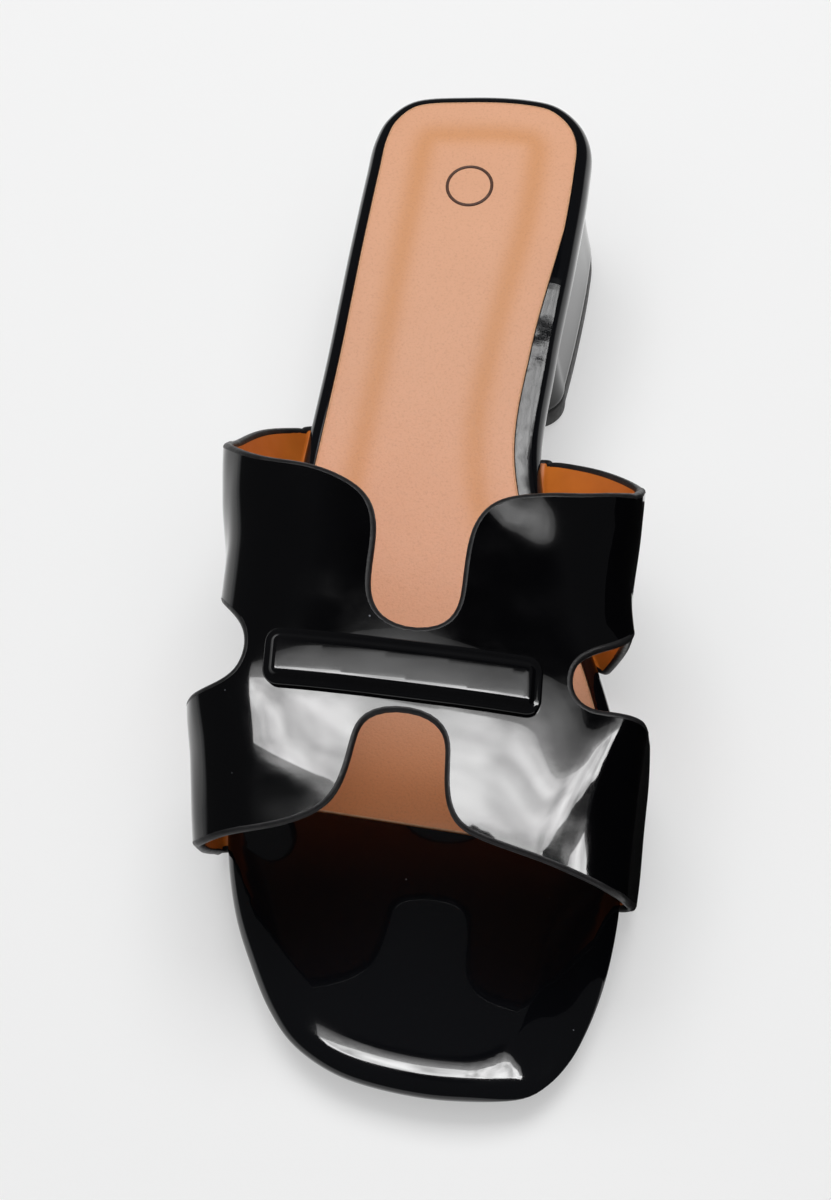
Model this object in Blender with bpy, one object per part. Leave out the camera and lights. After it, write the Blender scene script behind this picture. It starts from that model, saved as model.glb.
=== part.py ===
"""Heeled slipper, right shoe: strap upper with four legs on a square-toed footbed and a low block heel.

The tables are in millimetres, in a shoe frame with x to the medial side, y from the toe to the heel and z up.
The meshes are written in metres, with the toe towards -Y and the origin under the middle of the shoe's box.
"""
import math

import bmesh
import bpy
import numpy as np
from mathutils import Vector
from mathutils.geometry import delaunay_2d_cdt

MM = 0.001

# Layers and clearances
CLEAR = 0.3
OUTSOLE_THICK = 2.7
SOCK_THICK = 0.9
TIP_THICK = 6.0
WALL = 2.0

# Outline insets from the footbed's edge
OUTSOLE_INSET = 1.6
SOCK_INSET = 3.8
SOCK_WAIST_INSET = 2.6
SOCK_WAIST = (112.0, 210.0)
HEEL_BASE_INSET = 0.6
HEEL_TOP_INSET = 3.0
HEEL_BREAST = 182.0
HEEL_CORNER = 7.5
SOCK_FRONT = (64.8, 61.7)
SOCK_SEAT = 1.0

# Padded toe: fall for each millimetre of reach, reach in from the edge, more reach at the medial corner, and ends
TOE_FALL = 0.28
TOE_REACH = 10.0
TOE_REACH_MEDIAL = 6.0
TOE_CORNER = (10.0, 30.0)
TOE_END = (21.0, 60.0)

# Lasting margin of the upper under the footbed
BEND_RADIUS = 3.2
BEND_REACH = 0.35
MARGIN = 9.0
POCKET_SPARE = 0.9

# Flat pattern of the upper: length of arch and side from the crown line
ARCH_GIRTH = 59.0
SIDE_GIRTH = 42.0
BEND_TURN = 1.75

# Facet sizes
RIM_STEP = 5.0
HEEL_POINTS = 72
SOLE_GRID = 8.0
UPPER_GRID = 3.5
EDGE_STEP = 3.0

# Plaque on the bridge of the upper
PLAQUE_CENTRE = (-2.5, 74.4)
PLAQUE_LONG = 60.0
PLAQUE_WIDE = 12.4
PLAQUE_CORNER = 3.4
PLAQUE_SLOPE = -0.075
PLAQUE_RINGS = (
    # inset, lift above the upper
    (0.0, 0.3),
    (0.0, 1.5),
    (0.5, 1.8),
    (1.5, 1.9),
    (2.6, 2.9),
)

# Footbed outline: distance from the toe, lateral edge, medial edge
OUTLINE = np.array((
    # y, lateral x, medial x
    (4.2, -15.6, 32.0),
    (10.2, -24.3, 36.3),
    (18.0, -30.3, 39.5),
    (28.6, -35.8, 42.4),
    (40.0, -40.6, 44.2),
    (55.0, -44.3, 45.2),
    (70.0, -46.0, 45.2),
    (85.0, -45.8, 43.0),
    (105.0, -43.7, 36.8),
    (127.0, -40.8, 27.0),
    (153.0, -37.1, 20.0),
    (178.0, -33.4, 21.8),
    (205.0, -30.5, 25.2),
    (226.0, -28.4, 27.0),
    (236.0, -27.4, 26.9),
    (243.0, -25.0, 24.0),
))
TOE_CAP = ((27.0, 0.6), (10.0, -1.2), (-6.5, 1.0))
HEEL_CAP = ((-19.0, 249.0), (-5.0, 251.0), (10.0, 250.7), (18.0, 248.6))

# Underside of the outsole with toe spring, flat tread, arch and seat, and the footbed over it
PROFILE = np.array((
    # y, height, footbed thickness
    (-4.0, 4.0, 6.2),
    (10.0, 2.2, 6.6),
    (25.0, 0.8, 7.2),
    (42.0, 0.0, 7.6),
    (88.0, 0.0, 7.8),
    (110.0, 3.2, 7.9),
    (130.0, 8.7, 8.0),
    (150.0, 15.3, 8.0),
    (170.0, 22.2, 8.1),
    (190.0, 28.3, 8.2),
    (210.0, 32.8, 8.3),
    (230.0, 35.6, 8.3),
    (252.0, 36.8, 8.3),
))

# Rolled edge of the footbed, from its underside to its top
FOOTBED_RINGS = (
    # inset, share of thickness
    (1.1, 0.0),
    (0.2, 0.11),
    (0.0, 0.28),
    (0.0, 0.56),
    (0.5, 0.77),
    (1.5, 0.92),
    (3.2, 1.0),
)

# Form of the foot under the strap, a row for each section
LAST = np.array((
    # y, crown x, crown z, lateral x, lateral z, medial x, medial z
    (30.0, 3.0, 45.6, -44.4, 28.6, 47.6, 28.6),
    (45.0, 3.0, 50.3, -47.2, 33.3, 48.0, 33.3),
    (60.0, 2.0, 54.9, -49.2, 37.9, 48.8, 37.9),
    (75.0, 1.0, 59.2, -51.5, 42.2, 50.0, 42.2),
    (90.0, 0.0, 63.2, -46.5, 43.2, 46.4, 44.7),
    (105.0, 0.0, 67.0, -46.7, 45.0, 44.6, 47.0),
    (120.0, 0.0, 70.6, -48.8, 48.6, 45.9, 50.6),
    (135.0, 0.0, 74.0, -50.0, 52.0, 46.4, 54.0),
    (150.0, -1.0, 77.3, -49.0, 55.3, 43.4, 57.3),
    (172.0, -2.0, 82.0, -47.0, 60.0, 38.4, 62.0),
))
CROWN_FULL = 0.85
SHOULDER_FULL = 0.80

# Cut edges of the upper: turn across the arch (0 crown, 1 widest, 2 sole edge, 3 end of margin), then y
COLLAR = (
    # turn, y
    (-3.0, 163.4), (-2.0, 163.4), (-1.88, 163.1), (-1.75, 162.3), (-1.68, 160.4), (-1.56, 157.1),
    (-1.42, 152.9), (-1.26, 147.2), (-1.1, 140.8), (-0.98, 136.3), (-0.88, 133.2), (-0.745, 129.5),
    (-0.606, 126.1), (-0.433, 122.4), (-0.265, 120.0), (-0.189, 117.6), (-0.143, 115.3), (-0.113, 112.6),
    (-0.098, 108.5), (-0.093, 104.9), (-0.096, 98.4), (-0.097, 92.3), (-0.087, 88.5), (-0.058, 85.1),
    (-0.016, 83.2), (0.02, 83.3), (0.053, 85.7), (0.07, 88.9), (0.078, 97.3), (0.089, 105.8), (0.111, 110.5),
    (0.142, 113.0), (0.177, 113.9), (0.253, 114.8), (0.358, 115.9), (0.505, 117.7), (0.781, 121.9),
    (0.937, 126.3), (1.06, 130.8), (1.18, 135.9), (1.3, 141.6), (1.43, 147.1), (1.56, 151.5), (1.68, 155.0),
    (1.75, 156.8), (1.88, 157.4), (2.0, 157.5), (3.0, 157.5),
)
MEDIAL_NOTCH = (
    # turn, y
    (3.0, 108.5), (2.0, 108.5), (1.6, 105.5), (1.3, 101.0), (1.0, 94.5), (0.772, 88.4), (0.639, 85.1),
    (0.453, 81.4), (0.369, 78.4), (0.353, 75.8), (0.358, 72.5), (0.384, 70.4), (0.43, 69.4), (0.563, 69.6),
    (0.698, 70.1), (0.893, 71.2), (1.149, 74.6), (1.5, 80.0), (2.0, 84.0), (3.0, 84.0),
)
FRONT = (
    # turn, y
    (3.0, 47.6), (2.0, 47.6), (1.82, 47.5), (1.75, 47.0), (1.6, 44.8), (1.453, 42.4), (1.3, 40.2), (1.15, 38.3),
    (1.05, 37.0), (0.95, 35.5), (0.85, 34.5), (0.75, 33.9), (0.65, 33.8), (0.53, 34.4), (0.41, 35.5),
    (0.295, 37.2), (0.21, 38.7), (0.118, 40.8), (0.072, 42.6), (0.059, 44.6), (0.045, 48.4), (0.044, 55.2),
    (0.045, 61.0), (0.029, 63.9), (0.0, 65.9), (-0.039, 66.4), (-0.07, 65.8), (-0.091, 64.2), (-0.103, 61.1),
    (-0.117, 55.6), (-0.133, 51.1), (-0.157, 46.9), (-0.183, 44.8), (-0.243, 42.6), (-0.323, 41.1),
    (-0.496, 40.1), (-0.641, 39.7), (-0.75, 39.9), (-0.847, 40.7), (-0.95, 42.1), (-1.05, 43.5), (-1.25, 46.2),
    (-1.4, 48.5), (-1.6, 52.0), (-1.7, 54.1), (-1.75, 55.2), (-1.88, 56.4), (-2.0, 57.0), (-3.0, 57.0),
)
LATERAL_NOTCH = (
    # turn, y
    (-3.0, 88.0), (-2.0, 88.0), (-1.6, 83.5), (-1.2, 76.6), (-0.95, 72.9), (-0.78, 71.4), (-0.599, 71.5),
    (-0.476, 73.0), (-0.423, 75.4), (-0.42, 79.0), (-0.472, 83.5), (-0.554, 86.8), (-0.792, 93.6),
    (-1.0, 98.6), (-1.3, 105.0), (-1.6, 110.0), (-2.0, 113.0), (-3.0, 113.0),
)
# Legs of the upper where they pass under the footbed: side, front, rear
LEGS = (
    (-1, 57.0, 88.0),
    (-1, 113.0, 163.4),
    (1, 47.6, 84.0),
    (1, 108.5, 157.5),
)

LOOKS = {
    # slot: colour, roughness
    "black_patent": ((0.012, 0.012, 0.014), 0.12),
    "tan_sock": ((0.62, 0.34, 0.19), 0.55),
    "sole_black": ((0.03, 0.03, 0.03), 0.6),
    "heel_gloss": ((0.014, 0.014, 0.016), 0.16),
}


def clear_scene():
    for thing in list(bpy.data.objects):
        bpy.data.objects.remove(thing, do_unlink=True)


def smooth(table, column, at):
    """Monotone cubic through one column of a table, by the first column."""
    xs, ys = table[:, 0], table[:, column]
    step = np.diff(xs)
    rise = np.diff(ys) / step
    slope = np.empty_like(ys)
    slope[0], slope[-1] = rise[0], rise[-1]
    same = rise[:-1] * rise[1:] > 0
    near, far = 2 * step[1:] + step[:-1], step[1:] + 2 * step[:-1]
    safe = np.where(same, rise[:-1], 1.0), np.where(same, rise[1:], 1.0)
    slope[1:-1] = np.where(same, (near + far) / (near / safe[0] + far / safe[1]), 0.0)
    at = np.clip(np.asarray(at, float), xs[0], xs[-1])
    k = np.clip(np.searchsorted(xs, at) - 1, 0, len(xs) - 2)
    t = (at - xs[k]) / step[k]
    return ((2 * t**3 - 3 * t**2 + 1) * ys[k] + (t**3 - 2 * t**2 + t) * step[k] * slope[k]
            + (3 * t**2 - 2 * t**3) * ys[k + 1] + (t**3 - t**2) * step[k] * slope[k + 1])


def through(points, step, closed):
    """Even points along a smooth curve through the given ones."""
    pts = np.asarray(points, float)
    if closed:
        pts = np.vstack((pts[-1], pts, pts[0], pts[1]))
    else:
        pts = np.vstack((2 * pts[0] - pts[1], pts, 2 * pts[-1] - pts[-2]))
    fine = []
    t = np.linspace(0, 1, 24, endpoint=False)[:, None]
    for a, b, c, d in zip(pts[:-3], pts[1:-2], pts[2:-1], pts[3:]):
        k0 = math.sqrt(np.linalg.norm(b - a))
        k1 = math.sqrt(np.linalg.norm(c - b))
        k2 = math.sqrt(np.linalg.norm(d - c))
        leave = (b - a) / k0 - (c - a) / (k0 + k1) + (c - b) / k1
        reach = (c - b) / k1 - (d - b) / (k1 + k2) + (d - c) / k2
        fine.append((2 * t**3 - 3 * t**2 + 1) * b + (t**3 - 2 * t**2 + t) * k1 * leave
                    + (3 * t**2 - 2 * t**3) * c + (t**3 - t**2) * k1 * reach)
    fine = np.vstack(fine + [pts[-2][None]])
    run = np.concatenate(([0], np.cumsum(np.linalg.norm(np.diff(fine, axis=0), axis=1))))
    count = max(2, int(round(run[-1] / step)))
    marks = np.linspace(0, run[-1], count + 1)
    if closed:
        marks = marks[:-1]
    return np.stack([np.interp(marks, run, fine[:, k]) for k in range(2)], 1)


def ease(low, high, at):
    """Smooth step from 0 at low to 1 at high."""
    t = np.clip((at - low) / (high - low), 0, 1)
    return t * t * (3 - 2 * t)


def counterclockwise(loop):
    x, y = loop[:, 0], loop[:, 1]
    area = np.sum(x * np.roll(y, -1) - np.roll(x, -1) * y)
    return loop if area > 0 else loop[::-1]


def inset_loop(loop, amount):
    """Loop moved inwards along its own normals; amount may differ from point to point."""
    ahead, behind = np.roll(loop, -1, 0), np.roll(loop, 1, 0)
    along = ahead - behind
    along /= np.linalg.norm(along, axis=1)[:, None]
    inward = np.stack((-along[:, 1], along[:, 0]), 1)
    return loop + inward * np.reshape(np.asarray(amount, float) * np.ones(len(loop)), (-1, 1))


def inside(loop, pts):
    hit = np.zeros(len(pts), bool)
    for (ax, ay), (bx, by) in zip(loop, np.roll(loop, -1, 0)):
        if ay == by:
            continue
        cross = (ay > pts[:, 1]) != (by > pts[:, 1])
        hit ^= cross & (pts[:, 0] < (bx - ax) * (pts[:, 1] - ay) / (by - ay) + ax)
    return hit


def edge_distance(loop, pts):
    best = np.full(len(pts), 1e9)
    for a, b in zip(loop, np.roll(loop, -1, 0)):
        along = b - a
        t = np.clip(((pts - a) @ along) / (along @ along), 0, 1)
        best = np.minimum(best, np.linalg.norm(pts - a - t[:, None] * along, axis=1))
    return best


def fill(loop, grid):
    """Triangles over a loop, with a staggered grid of points inside it; the loop's points come first."""
    low, high = loop.min(0), loop.max(0)
    rows = np.arange(math.floor(low[1] / grid), math.ceil(high[1] / grid) + 1)
    cols = np.arange(math.floor(low[0] / grid) - 1, math.ceil(high[0] / grid) + 1)
    mesh = np.array([((c + 0.5 * (r % 2)) * grid, r * grid) for r in rows for c in cols], float)
    mesh = mesh[inside(loop, mesh)]
    mesh = mesh[edge_distance(loop, mesh) > 0.55 * grid]
    flat = np.vstack((loop, mesh))
    made = delaunay_2d_cdt([Vector(p) for p in flat], [], [list(range(len(loop)))], 1, 1e-6)
    back = [ids[0] for ids in made[3]]
    return flat, [[back[i] for i in face] for face in made[2]]


def make(name, verts, faces, slot):
    """Closed mesh object in metres from points in millimetres."""
    bm = bmesh.new()
    made = [bm.verts.new(Vector(p) * MM) for p in np.asarray(verts, float)]
    for face in faces:
        bm.faces.new([made[i] for i in face])
    bmesh.ops.recalc_face_normals(bm, faces=bm.faces)
    mesh = bpy.data.meshes.new(name)
    bm.to_mesh(mesh)
    bm.free()
    thing = bpy.data.objects.new(name, mesh)
    bpy.context.collection.objects.link(thing)
    colour, rough = LOOKS[slot]
    look = bpy.data.materials.get(slot)
    if look is None:
        look = bpy.data.materials.new(slot)
        look.use_nodes = True
        shader = look.node_tree.nodes["Principled BSDF"]
        shader.inputs["Base Color"].default_value = (*colour, 1.0)
        shader.inputs["Roughness"].default_value = rough
    mesh.materials.append(look)
    return thing


def layers(rings, grid):
    """Skin over stacked loops of equal count: rings of (loop, height function), bottom first."""
    count = len(rings[0][0])
    verts, faces = [], []
    for loop, height in rings:
        verts.extend(np.column_stack((loop, height(loop))))
    for level in range(len(rings) - 1):
        for i in range(count):
            j = (i + 1) % count
            a, b = level * count, (level + 1) * count
            faces.append([a + i, a + j, b + j])
            faces.append([a + i, b + j, b + i])
    for level, flip in ((0, True), (len(rings) - 1, False)):
        loop, height = rings[level]
        flat, tris = fill(loop, grid)
        start = len(verts) - count
        verts.extend(np.column_stack((flat[count:], height(flat[count:]))))
        for tri in tris:
            ids = [level * count + i if i < count else start + i for i in tri]
            faces.append(ids[::-1] if flip else ids)
    return verts, faces


def sole_height(y):
    return smooth(PROFILE, 1, y)


def over_sole(lift, share=0.0):
    """Height above the outsole's underside: a lift, and a share of the footbed's thickness."""
    return lambda loop: sole_height(loop[:, 1]) + lift + share * smooth(PROFILE, 2, loop[:, 1])


def sole_edge(side, y):
    return smooth(OUTLINE, 1 if side < 0 else 2, y)


def footbed_outline():
    lateral = [(row[1], row[0]) for row in OUTLINE]
    medial = [(row[2], row[0]) for row in OUTLINE[::-1]]
    loop = list(TOE_CAP) + lateral + list(HEEL_CAP) + medial
    return counterclockwise(through(loop, RIM_STEP, True))


def build_outsole(outline):
    low, high = OUTSOLE_INSET + 0.5, OUTSOLE_INSET
    rings = [
        (inset_loop(outline, low), over_sole(0.0)),
        (inset_loop(outline, high), over_sole(0.6)),
        (inset_loop(outline, high), over_sole(OUTSOLE_THICK)),
    ]
    return make("outsole", *layers(rings, SOLE_GRID), "sole_black")


def heel_outline(outline, inset, breast):
    """Seat outline behind the breast, inset, with rounded front corners, from the middle of the breast."""
    loop = inset_loop(outline, inset)
    seat = loop[loop[:, 1] > breast + HEEL_CORNER + 1.0]
    start = int(np.argmax(np.linalg.norm(np.roll(seat, 1, 0) - seat, axis=1)))
    seat = np.roll(seat, -start, 0)
    quarter = np.linspace(0, math.pi / 2, 7)
    rounds = []
    for corner in (seat[0], seat[-1]):
        side = np.sign(corner[0])
        rounds.append(np.column_stack((
            corner[0] - side * HEEL_CORNER * (1 - np.cos(quarter)),
            breast + HEEL_CORNER * (1 - np.sin(quarter)))))
    middle = (rounds[0][-1] + rounds[1][-1]) / 2
    loop = np.vstack((middle, rounds[0][::-1], seat, rounds[1], middle))
    run = np.concatenate(([0], np.cumsum(np.linalg.norm(np.diff(loop, axis=0), axis=1))))
    marks = np.linspace(0, run[-1], HEEL_POINTS + 1)[:-1]
    return np.stack([np.interp(marks, run, loop[:, k]) for k in range(2)], 1)


def build_heel(outline):
    top = heel_outline(outline, HEEL_TOP_INSET, HEEL_BREAST + 1.0)
    base = heel_outline(outline, HEEL_BASE_INSET, HEEL_BREAST)
    foot = TIP_THICK + CLEAR
    rings = []
    for share in (0.0, 0.08, 0.3, 0.55, 0.8, 1.0):
        blend = share ** 0.7
        loop = base * (1 - blend) + top * blend
        rings.append((loop, lambda pts, s=share: foot + s * (sole_height(pts[:, 1]) - CLEAR - foot)))
    block = make("heel_block", *layers(rings, SOLE_GRID), "heel_gloss")
    flat = [
        (inset_loop(base, 0.8), lambda pts: np.zeros(len(pts))),
        (inset_loop(base, 0.2), lambda pts: np.full(len(pts), 0.6)),
        (inset_loop(base, 0.2), lambda pts: np.full(len(pts), TIP_THICK)),
    ]
    return block, make("heel_tip", *layers(flat, SOLE_GRID), "sole_black")


def toe_fall(outline, pts):
    """How far the padded toe falls below the flat top, from its shoulder to its edge."""
    reach = TOE_REACH + TOE_REACH_MEDIAL * ease(*TOE_CORNER, pts[:, 0])
    near = np.clip(1 - edge_distance(outline, pts) / reach, 0, 1)
    return TOE_FALL * reach * near**1.5 * (1 - ease(*TOE_END, pts[:, 1]))


def footbed_height(outline, share):
    flat = over_sole(OUTSOLE_THICK + CLEAR, share)
    return lambda pts: flat(pts) - share * toe_fall(outline, pts)


def build_footbed(outline):
    lift = OUTSOLE_THICK + CLEAR
    rings = [(inset_loop(outline, inset), footbed_height(outline, share)) for inset, share in FOOTBED_RINGS]
    footbed = make("footbed", *layers(rings, SOLE_GRID), "black_patent")
    cutters = [build_pocket(number, side, front - POCKET_SPARE, rear + POCKET_SPARE)
               for number, (side, front, rear) in enumerate(LEGS)]
    seat = inset_loop(sock_outline(outline), -CLEAR)
    floor = lift - SOCK_SEAT
    rings = [(seat, over_sole(floor, 1.0)), (seat, over_sole(floor + 6.0, 1.0))]
    cutters.append(as_cutter(make("sock_seat_cutter", *layers(rings, SOLE_GRID), "sole_black")))
    for cutter in cutters:
        cut = footbed.modifiers.new(cutter.name, "BOOLEAN")
        cut.operation = "DIFFERENCE"
        cut.solver = "EXACT"
        cut.object = cutter
    return footbed


def as_cutter(thing):
    thing.hide_render = True
    thing.display_type = "WIRE"
    return thing


def build_pocket(number, side, front, rear):
    """Room under the footbed for one leg's lasting margin."""
    ys = np.linspace(front, rear, 12)
    edge = sole_edge(side, ys)
    foot = sole_height(ys) + OUTSOLE_THICK
    verts = []
    for reach in (-4.0, MARGIN - BEND_REACH + POCKET_SPARE):
        for height in (-0.6, CLEAR + WALL + 0.3):
            verts.append(np.column_stack((edge - side * reach, ys, foot + height)))
    count = len(ys)
    order = (0, 1, 3, 2)
    faces = [[order[k] * count for k in range(4)], [order[k] * count + count - 1 for k in (3, 2, 1, 0)]]
    for k in range(4):
        a, b = order[k] * count, order[(k + 1) % 4] * count
        for i in range(count - 1):
            faces.append([a + i, a + i + 1, b + i + 1])
            faces.append([a + i, b + i + 1, b + i])
    return as_cutter(make("pocket_cutter_%d" % number, np.vstack(verts), faces, "sole_black"))


def sock_outline(outline):
    """Sock lining from the straight front edge round the heel, further in at the medial waist."""
    ys = outline[:, 1]
    waist = np.clip((ys - SOCK_WAIST[0]) / (SOCK_WAIST[1] - SOCK_WAIST[0]), 0, 1)
    extra = np.where(outline[:, 0] > 0, SOCK_WAIST_INSET * np.sin(math.pi * waist), 0.0)
    loop = inset_loop(outline, SOCK_INSET + extra)
    slope = (SOCK_FRONT[1] - SOCK_FRONT[0]) / 28.0
    line = SOCK_FRONT[0] + slope * (loop[:, 0] + 21.0)
    start = int(np.argmax((loop[:, 1] > line) & (np.roll(loop[:, 1], 1) <= np.roll(line, 1))))
    loop, line = np.roll(loop, -start, 0), np.roll(line, -start)
    loop = loop[loop[:, 1] > line + 1.0]
    corner = [(x, SOCK_FRONT[0] + slope * (x + 21.0)) for x in (loop[-1][0], loop[0][0])]
    return np.vstack((loop, np.linspace(corner[0], corner[1], 14)))


def build_sock(outline):
    loop = sock_outline(outline)
    foot = OUTSOLE_THICK + CLEAR - SOCK_SEAT + CLEAR
    rings = [(loop, over_sole(foot, 1.0)), (loop, over_sole(foot + SOCK_THICK, 1.0))]
    return make("insole_sock", *layers(rings, SOLE_GRID), "tan_sock")


def bezier(a, b, c, d, t):
    return (1 - t)**3 * a + 3 * (1 - t)**2 * t * b + 3 * (1 - t) * t**2 * c + t**3 * d


def strap_point(turn, y):
    """Outer face of the upper: turn 0 at the crown, 1 at the widest, 2 at the sole edge, 3 at the margin's end."""
    side = np.where(turn < 0, -1.0, 1.0)
    t = np.abs(turn)
    crown_x, crown_z = smooth(LAST, 1, y), smooth(LAST, 2, y)
    wide_x = np.where(side < 0, smooth(LAST, 3, y), smooth(LAST, 5, y))
    wide_z = np.where(side < 0, smooth(LAST, 4, y), smooth(LAST, 6, y))
    foot_x = np.where(side < 0, sole_edge(-1, y), sole_edge(1, y)) + side * BEND_REACH
    foot_z = sole_height(y) + OUTSOLE_THICK + CLEAR
    u = np.clip(t, 0, 1)
    x = bezier(crown_x, crown_x + (wide_x - crown_x) * CROWN_FULL, wide_x, wide_x, u)
    z = bezier(crown_z, crown_z, wide_z + (crown_z - wide_z) * SHOULDER_FULL, wide_z, u)
    out, rise = np.abs(wide_x - foot_x), wide_z - foot_z
    chord = np.arctan2(rise, out)
    lean = np.clip(1.55 * chord - 0.275 * math.pi, 0.3, 1.45)
    bend_x, bend_z = foot_x + side * BEND_RADIUS * np.sin(lean), foot_z + BEND_RADIUS * (1 - np.cos(lean))
    reach = 0.36 * np.hypot(wide_x - bend_x, wide_z - bend_z)
    v = np.clip((t - 1) / (BEND_TURN - 1), 0, 1)
    side_x = bezier(wide_x, wide_x, bend_x + side * reach * np.cos(lean), bend_x, v)
    side_z = bezier(wide_z, wide_z - reach, bend_z + reach * np.sin(lean), bend_z, v)
    w = lean * (1 - np.clip((t - BEND_TURN) / (2 - BEND_TURN), 0, 1))
    arc_x, arc_z = foot_x + side * BEND_RADIUS * np.sin(w), foot_z + BEND_RADIUS * (1 - np.cos(w))
    x = np.where(t > 1, np.where(t > BEND_TURN, arc_x, side_x), x)
    z = np.where(t > 1, np.where(t > BEND_TURN, arc_z, side_z), z)
    x = x - side * MARGIN * np.clip(t - 2, 0, 1)
    return np.stack((x, y, z), -1)


def strap_normal(turn, y):
    e = 0.004
    across = strap_point(turn + e, y) - strap_point(turn - e, y)
    along = strap_point(turn, y + 0.2) - strap_point(turn, y - 0.2)
    normal = np.cross(across, along)
    return normal / np.linalg.norm(normal, axis=-1)[..., None]


def girth(turn):
    t = np.abs(turn)
    far = ARCH_GIRTH + SIDE_GIRTH
    run = np.where(t < 1, ARCH_GIRTH * t, np.where(t < 2, ARCH_GIRTH + SIDE_GIRTH * (t - 1), far + MARGIN * (t - 2)))
    return np.sign(turn) * run


def turn_of(run):
    g = np.abs(run)
    far = ARCH_GIRTH + SIDE_GIRTH
    t = np.where(g < ARCH_GIRTH, g / ARCH_GIRTH,
                 np.where(g < far, 1 + (g - ARCH_GIRTH) / SIDE_GIRTH, 2 + (g - far) / MARGIN))
    return np.sign(run) * t


def pattern():
    """Flat pattern of the upper as one closed loop of (girth, y)."""
    run = []
    for edge in (COLLAR, MEDIAL_NOTCH, FRONT, LATERAL_NOTCH):
        table = np.array(edge)
        flat = np.column_stack((girth(table[:, 0]), table[:, 1]))
        curve = through(flat, EDGE_STEP, False)
        run.append(curve)
        follow = {id(COLLAR): MEDIAL_NOTCH, id(MEDIAL_NOTCH): FRONT, id(FRONT): LATERAL_NOTCH,
                  id(LATERAL_NOTCH): COLLAR}[id(edge)]
        last, first = flat[-1], np.array((girth(np.array(follow[0][0])), follow[0][1]))
        count = max(2, int(round(np.linalg.norm(first - last) / EDGE_STEP)))
        run.append(np.linspace(last, first, count + 1)[1:-1])
    return counterclockwise(np.vstack(run))


def build_upper():
    flat, tris = fill(pattern(), UPPER_GRID)
    border = len(pattern())
    turn, y = turn_of(flat[:, 0]), flat[:, 1]
    outer = strap_point(turn, y)
    inner = outer - WALL * strap_normal(turn, y)
    count = len(flat)
    faces = [list(tri) for tri in tris] + [[i + count for i in tri[::-1]] for tri in tris]
    for i in range(border):
        j = (i + 1) % border
        faces.append([j, i, i + count])
        faces.append([j, i + count, j + count])
    return make("upper", np.vstack((outer, inner)), faces, "black_patent")


def on_strap(x, y, lift):
    """Point above the strap's arch at a place seen from above."""
    turns = np.linspace(-1, 1, 401)
    turn = np.array([np.interp(a, strap_point(turns, np.full(401, b))[:, 0], turns) for a, b in zip(x, y)])
    return strap_point(turn, y) + lift * strap_normal(turn, y)


def plaque_loop(inset):
    half_long, half_wide = PLAQUE_LONG / 2 - inset, PLAQUE_WIDE / 2 - inset
    corner = max(PLAQUE_CORNER - inset, 0.8)
    loop = []
    for sx, sy, start in ((1, 1, 0), (-1, 1, 90), (-1, -1, 180), (1, -1, 270)):
        for step in range(5):
            a = math.radians(start + 22.5 * step)
            loop.append((sx * (half_long - corner) + corner * math.cos(a),
                         sy * (half_wide - corner) + corner * math.sin(a)))
    for side in (-1, 1):
        for share in np.linspace(-0.86, 0.86, 15):
            loop.append((share * (half_long - corner), side * half_wide))
    loop = np.array(loop)
    middle = np.abs(loop[:, 0]) <= 0.9 * (half_long - corner)
    upper_edge = loop[middle & (loop[:, 1] > 0)]
    lower_edge = loop[middle & (loop[:, 1] < 0)]
    rounds = [loop[5 * k:5 * k + 5] for k in range(4)]
    upper_edge = upper_edge[np.argsort(-upper_edge[:, 0])]
    lower_edge = lower_edge[np.argsort(lower_edge[:, 0])]
    loop = np.vstack((rounds[0], upper_edge, rounds[1], rounds[2], lower_edge, rounds[3]))
    x = PLAQUE_CENTRE[0] + loop[:, 0]
    y = PLAQUE_CENTRE[1] + loop[:, 1] + PLAQUE_SLOPE * loop[:, 0]
    return np.column_stack((x, y))


def build_plaque():
    count = len(plaque_loop(0.0))
    verts, faces = [], []
    for inset, lift in PLAQUE_RINGS:
        loop = plaque_loop(inset)
        verts.extend(on_strap(loop[:, 0], loop[:, 1], lift))
    for level in range(len(PLAQUE_RINGS) - 1):
        for i in range(count):
            j = (i + 1) % count
            a, b = level * count, (level + 1) * count
            faces.append([a + i, a + j, b + j])
            faces.append([a + i, b + j, b + i])
    for level, flip in ((0, True), (len(PLAQUE_RINGS) - 1, False)):
        inset, lift = PLAQUE_RINGS[level]
        flat, tris = fill(plaque_loop(inset), EDGE_STEP)
        start = len(verts) - count
        verts.extend(on_strap(flat[count:, 0], flat[count:, 1], lift))
        for tri in tris:
            ids = [level * count + i if i < count else start + i for i in tri]
            faces.append(ids[::-1] if flip else ids)
    return make("vamp_plaque", verts, faces, "heel_gloss")


def settle(things):
    """Bring every mesh to the origin under the middle of the shoe's box."""
    pts = np.array([v.co for thing in things if not thing.hide_render for v in thing.data.vertices])
    middle = (pts.min(0) + pts.max(0)) / 2
    for thing in things:
        for vert in thing.data.vertices:
            vert.co -= Vector((middle[0], middle[1], 0.0))


def main():
    clear_scene()
    outline = footbed_outline()
    build_outsole(outline)
    build_heel(outline)
    build_footbed(outline)
    build_sock(outline)
    build_upper()
    build_plaque()
    settle(list(bpy.data.objects))


main()
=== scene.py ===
"""Finish of the heeled slipper, right shoe: patent strap, wrapped footbed, tan sock, covered heel and studio.

Sizes and tables are in millimetres, in the shoe's own frame: x to the medial side, y from the toe to the
heel and z up. make_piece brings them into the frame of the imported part, in metres.
"""
import math

import bmesh
import bpy
import numpy as np
from mathutils import Matrix, Quaternion, Vector
from mathutils.geometry import delaunay_2d_cdt


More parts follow.
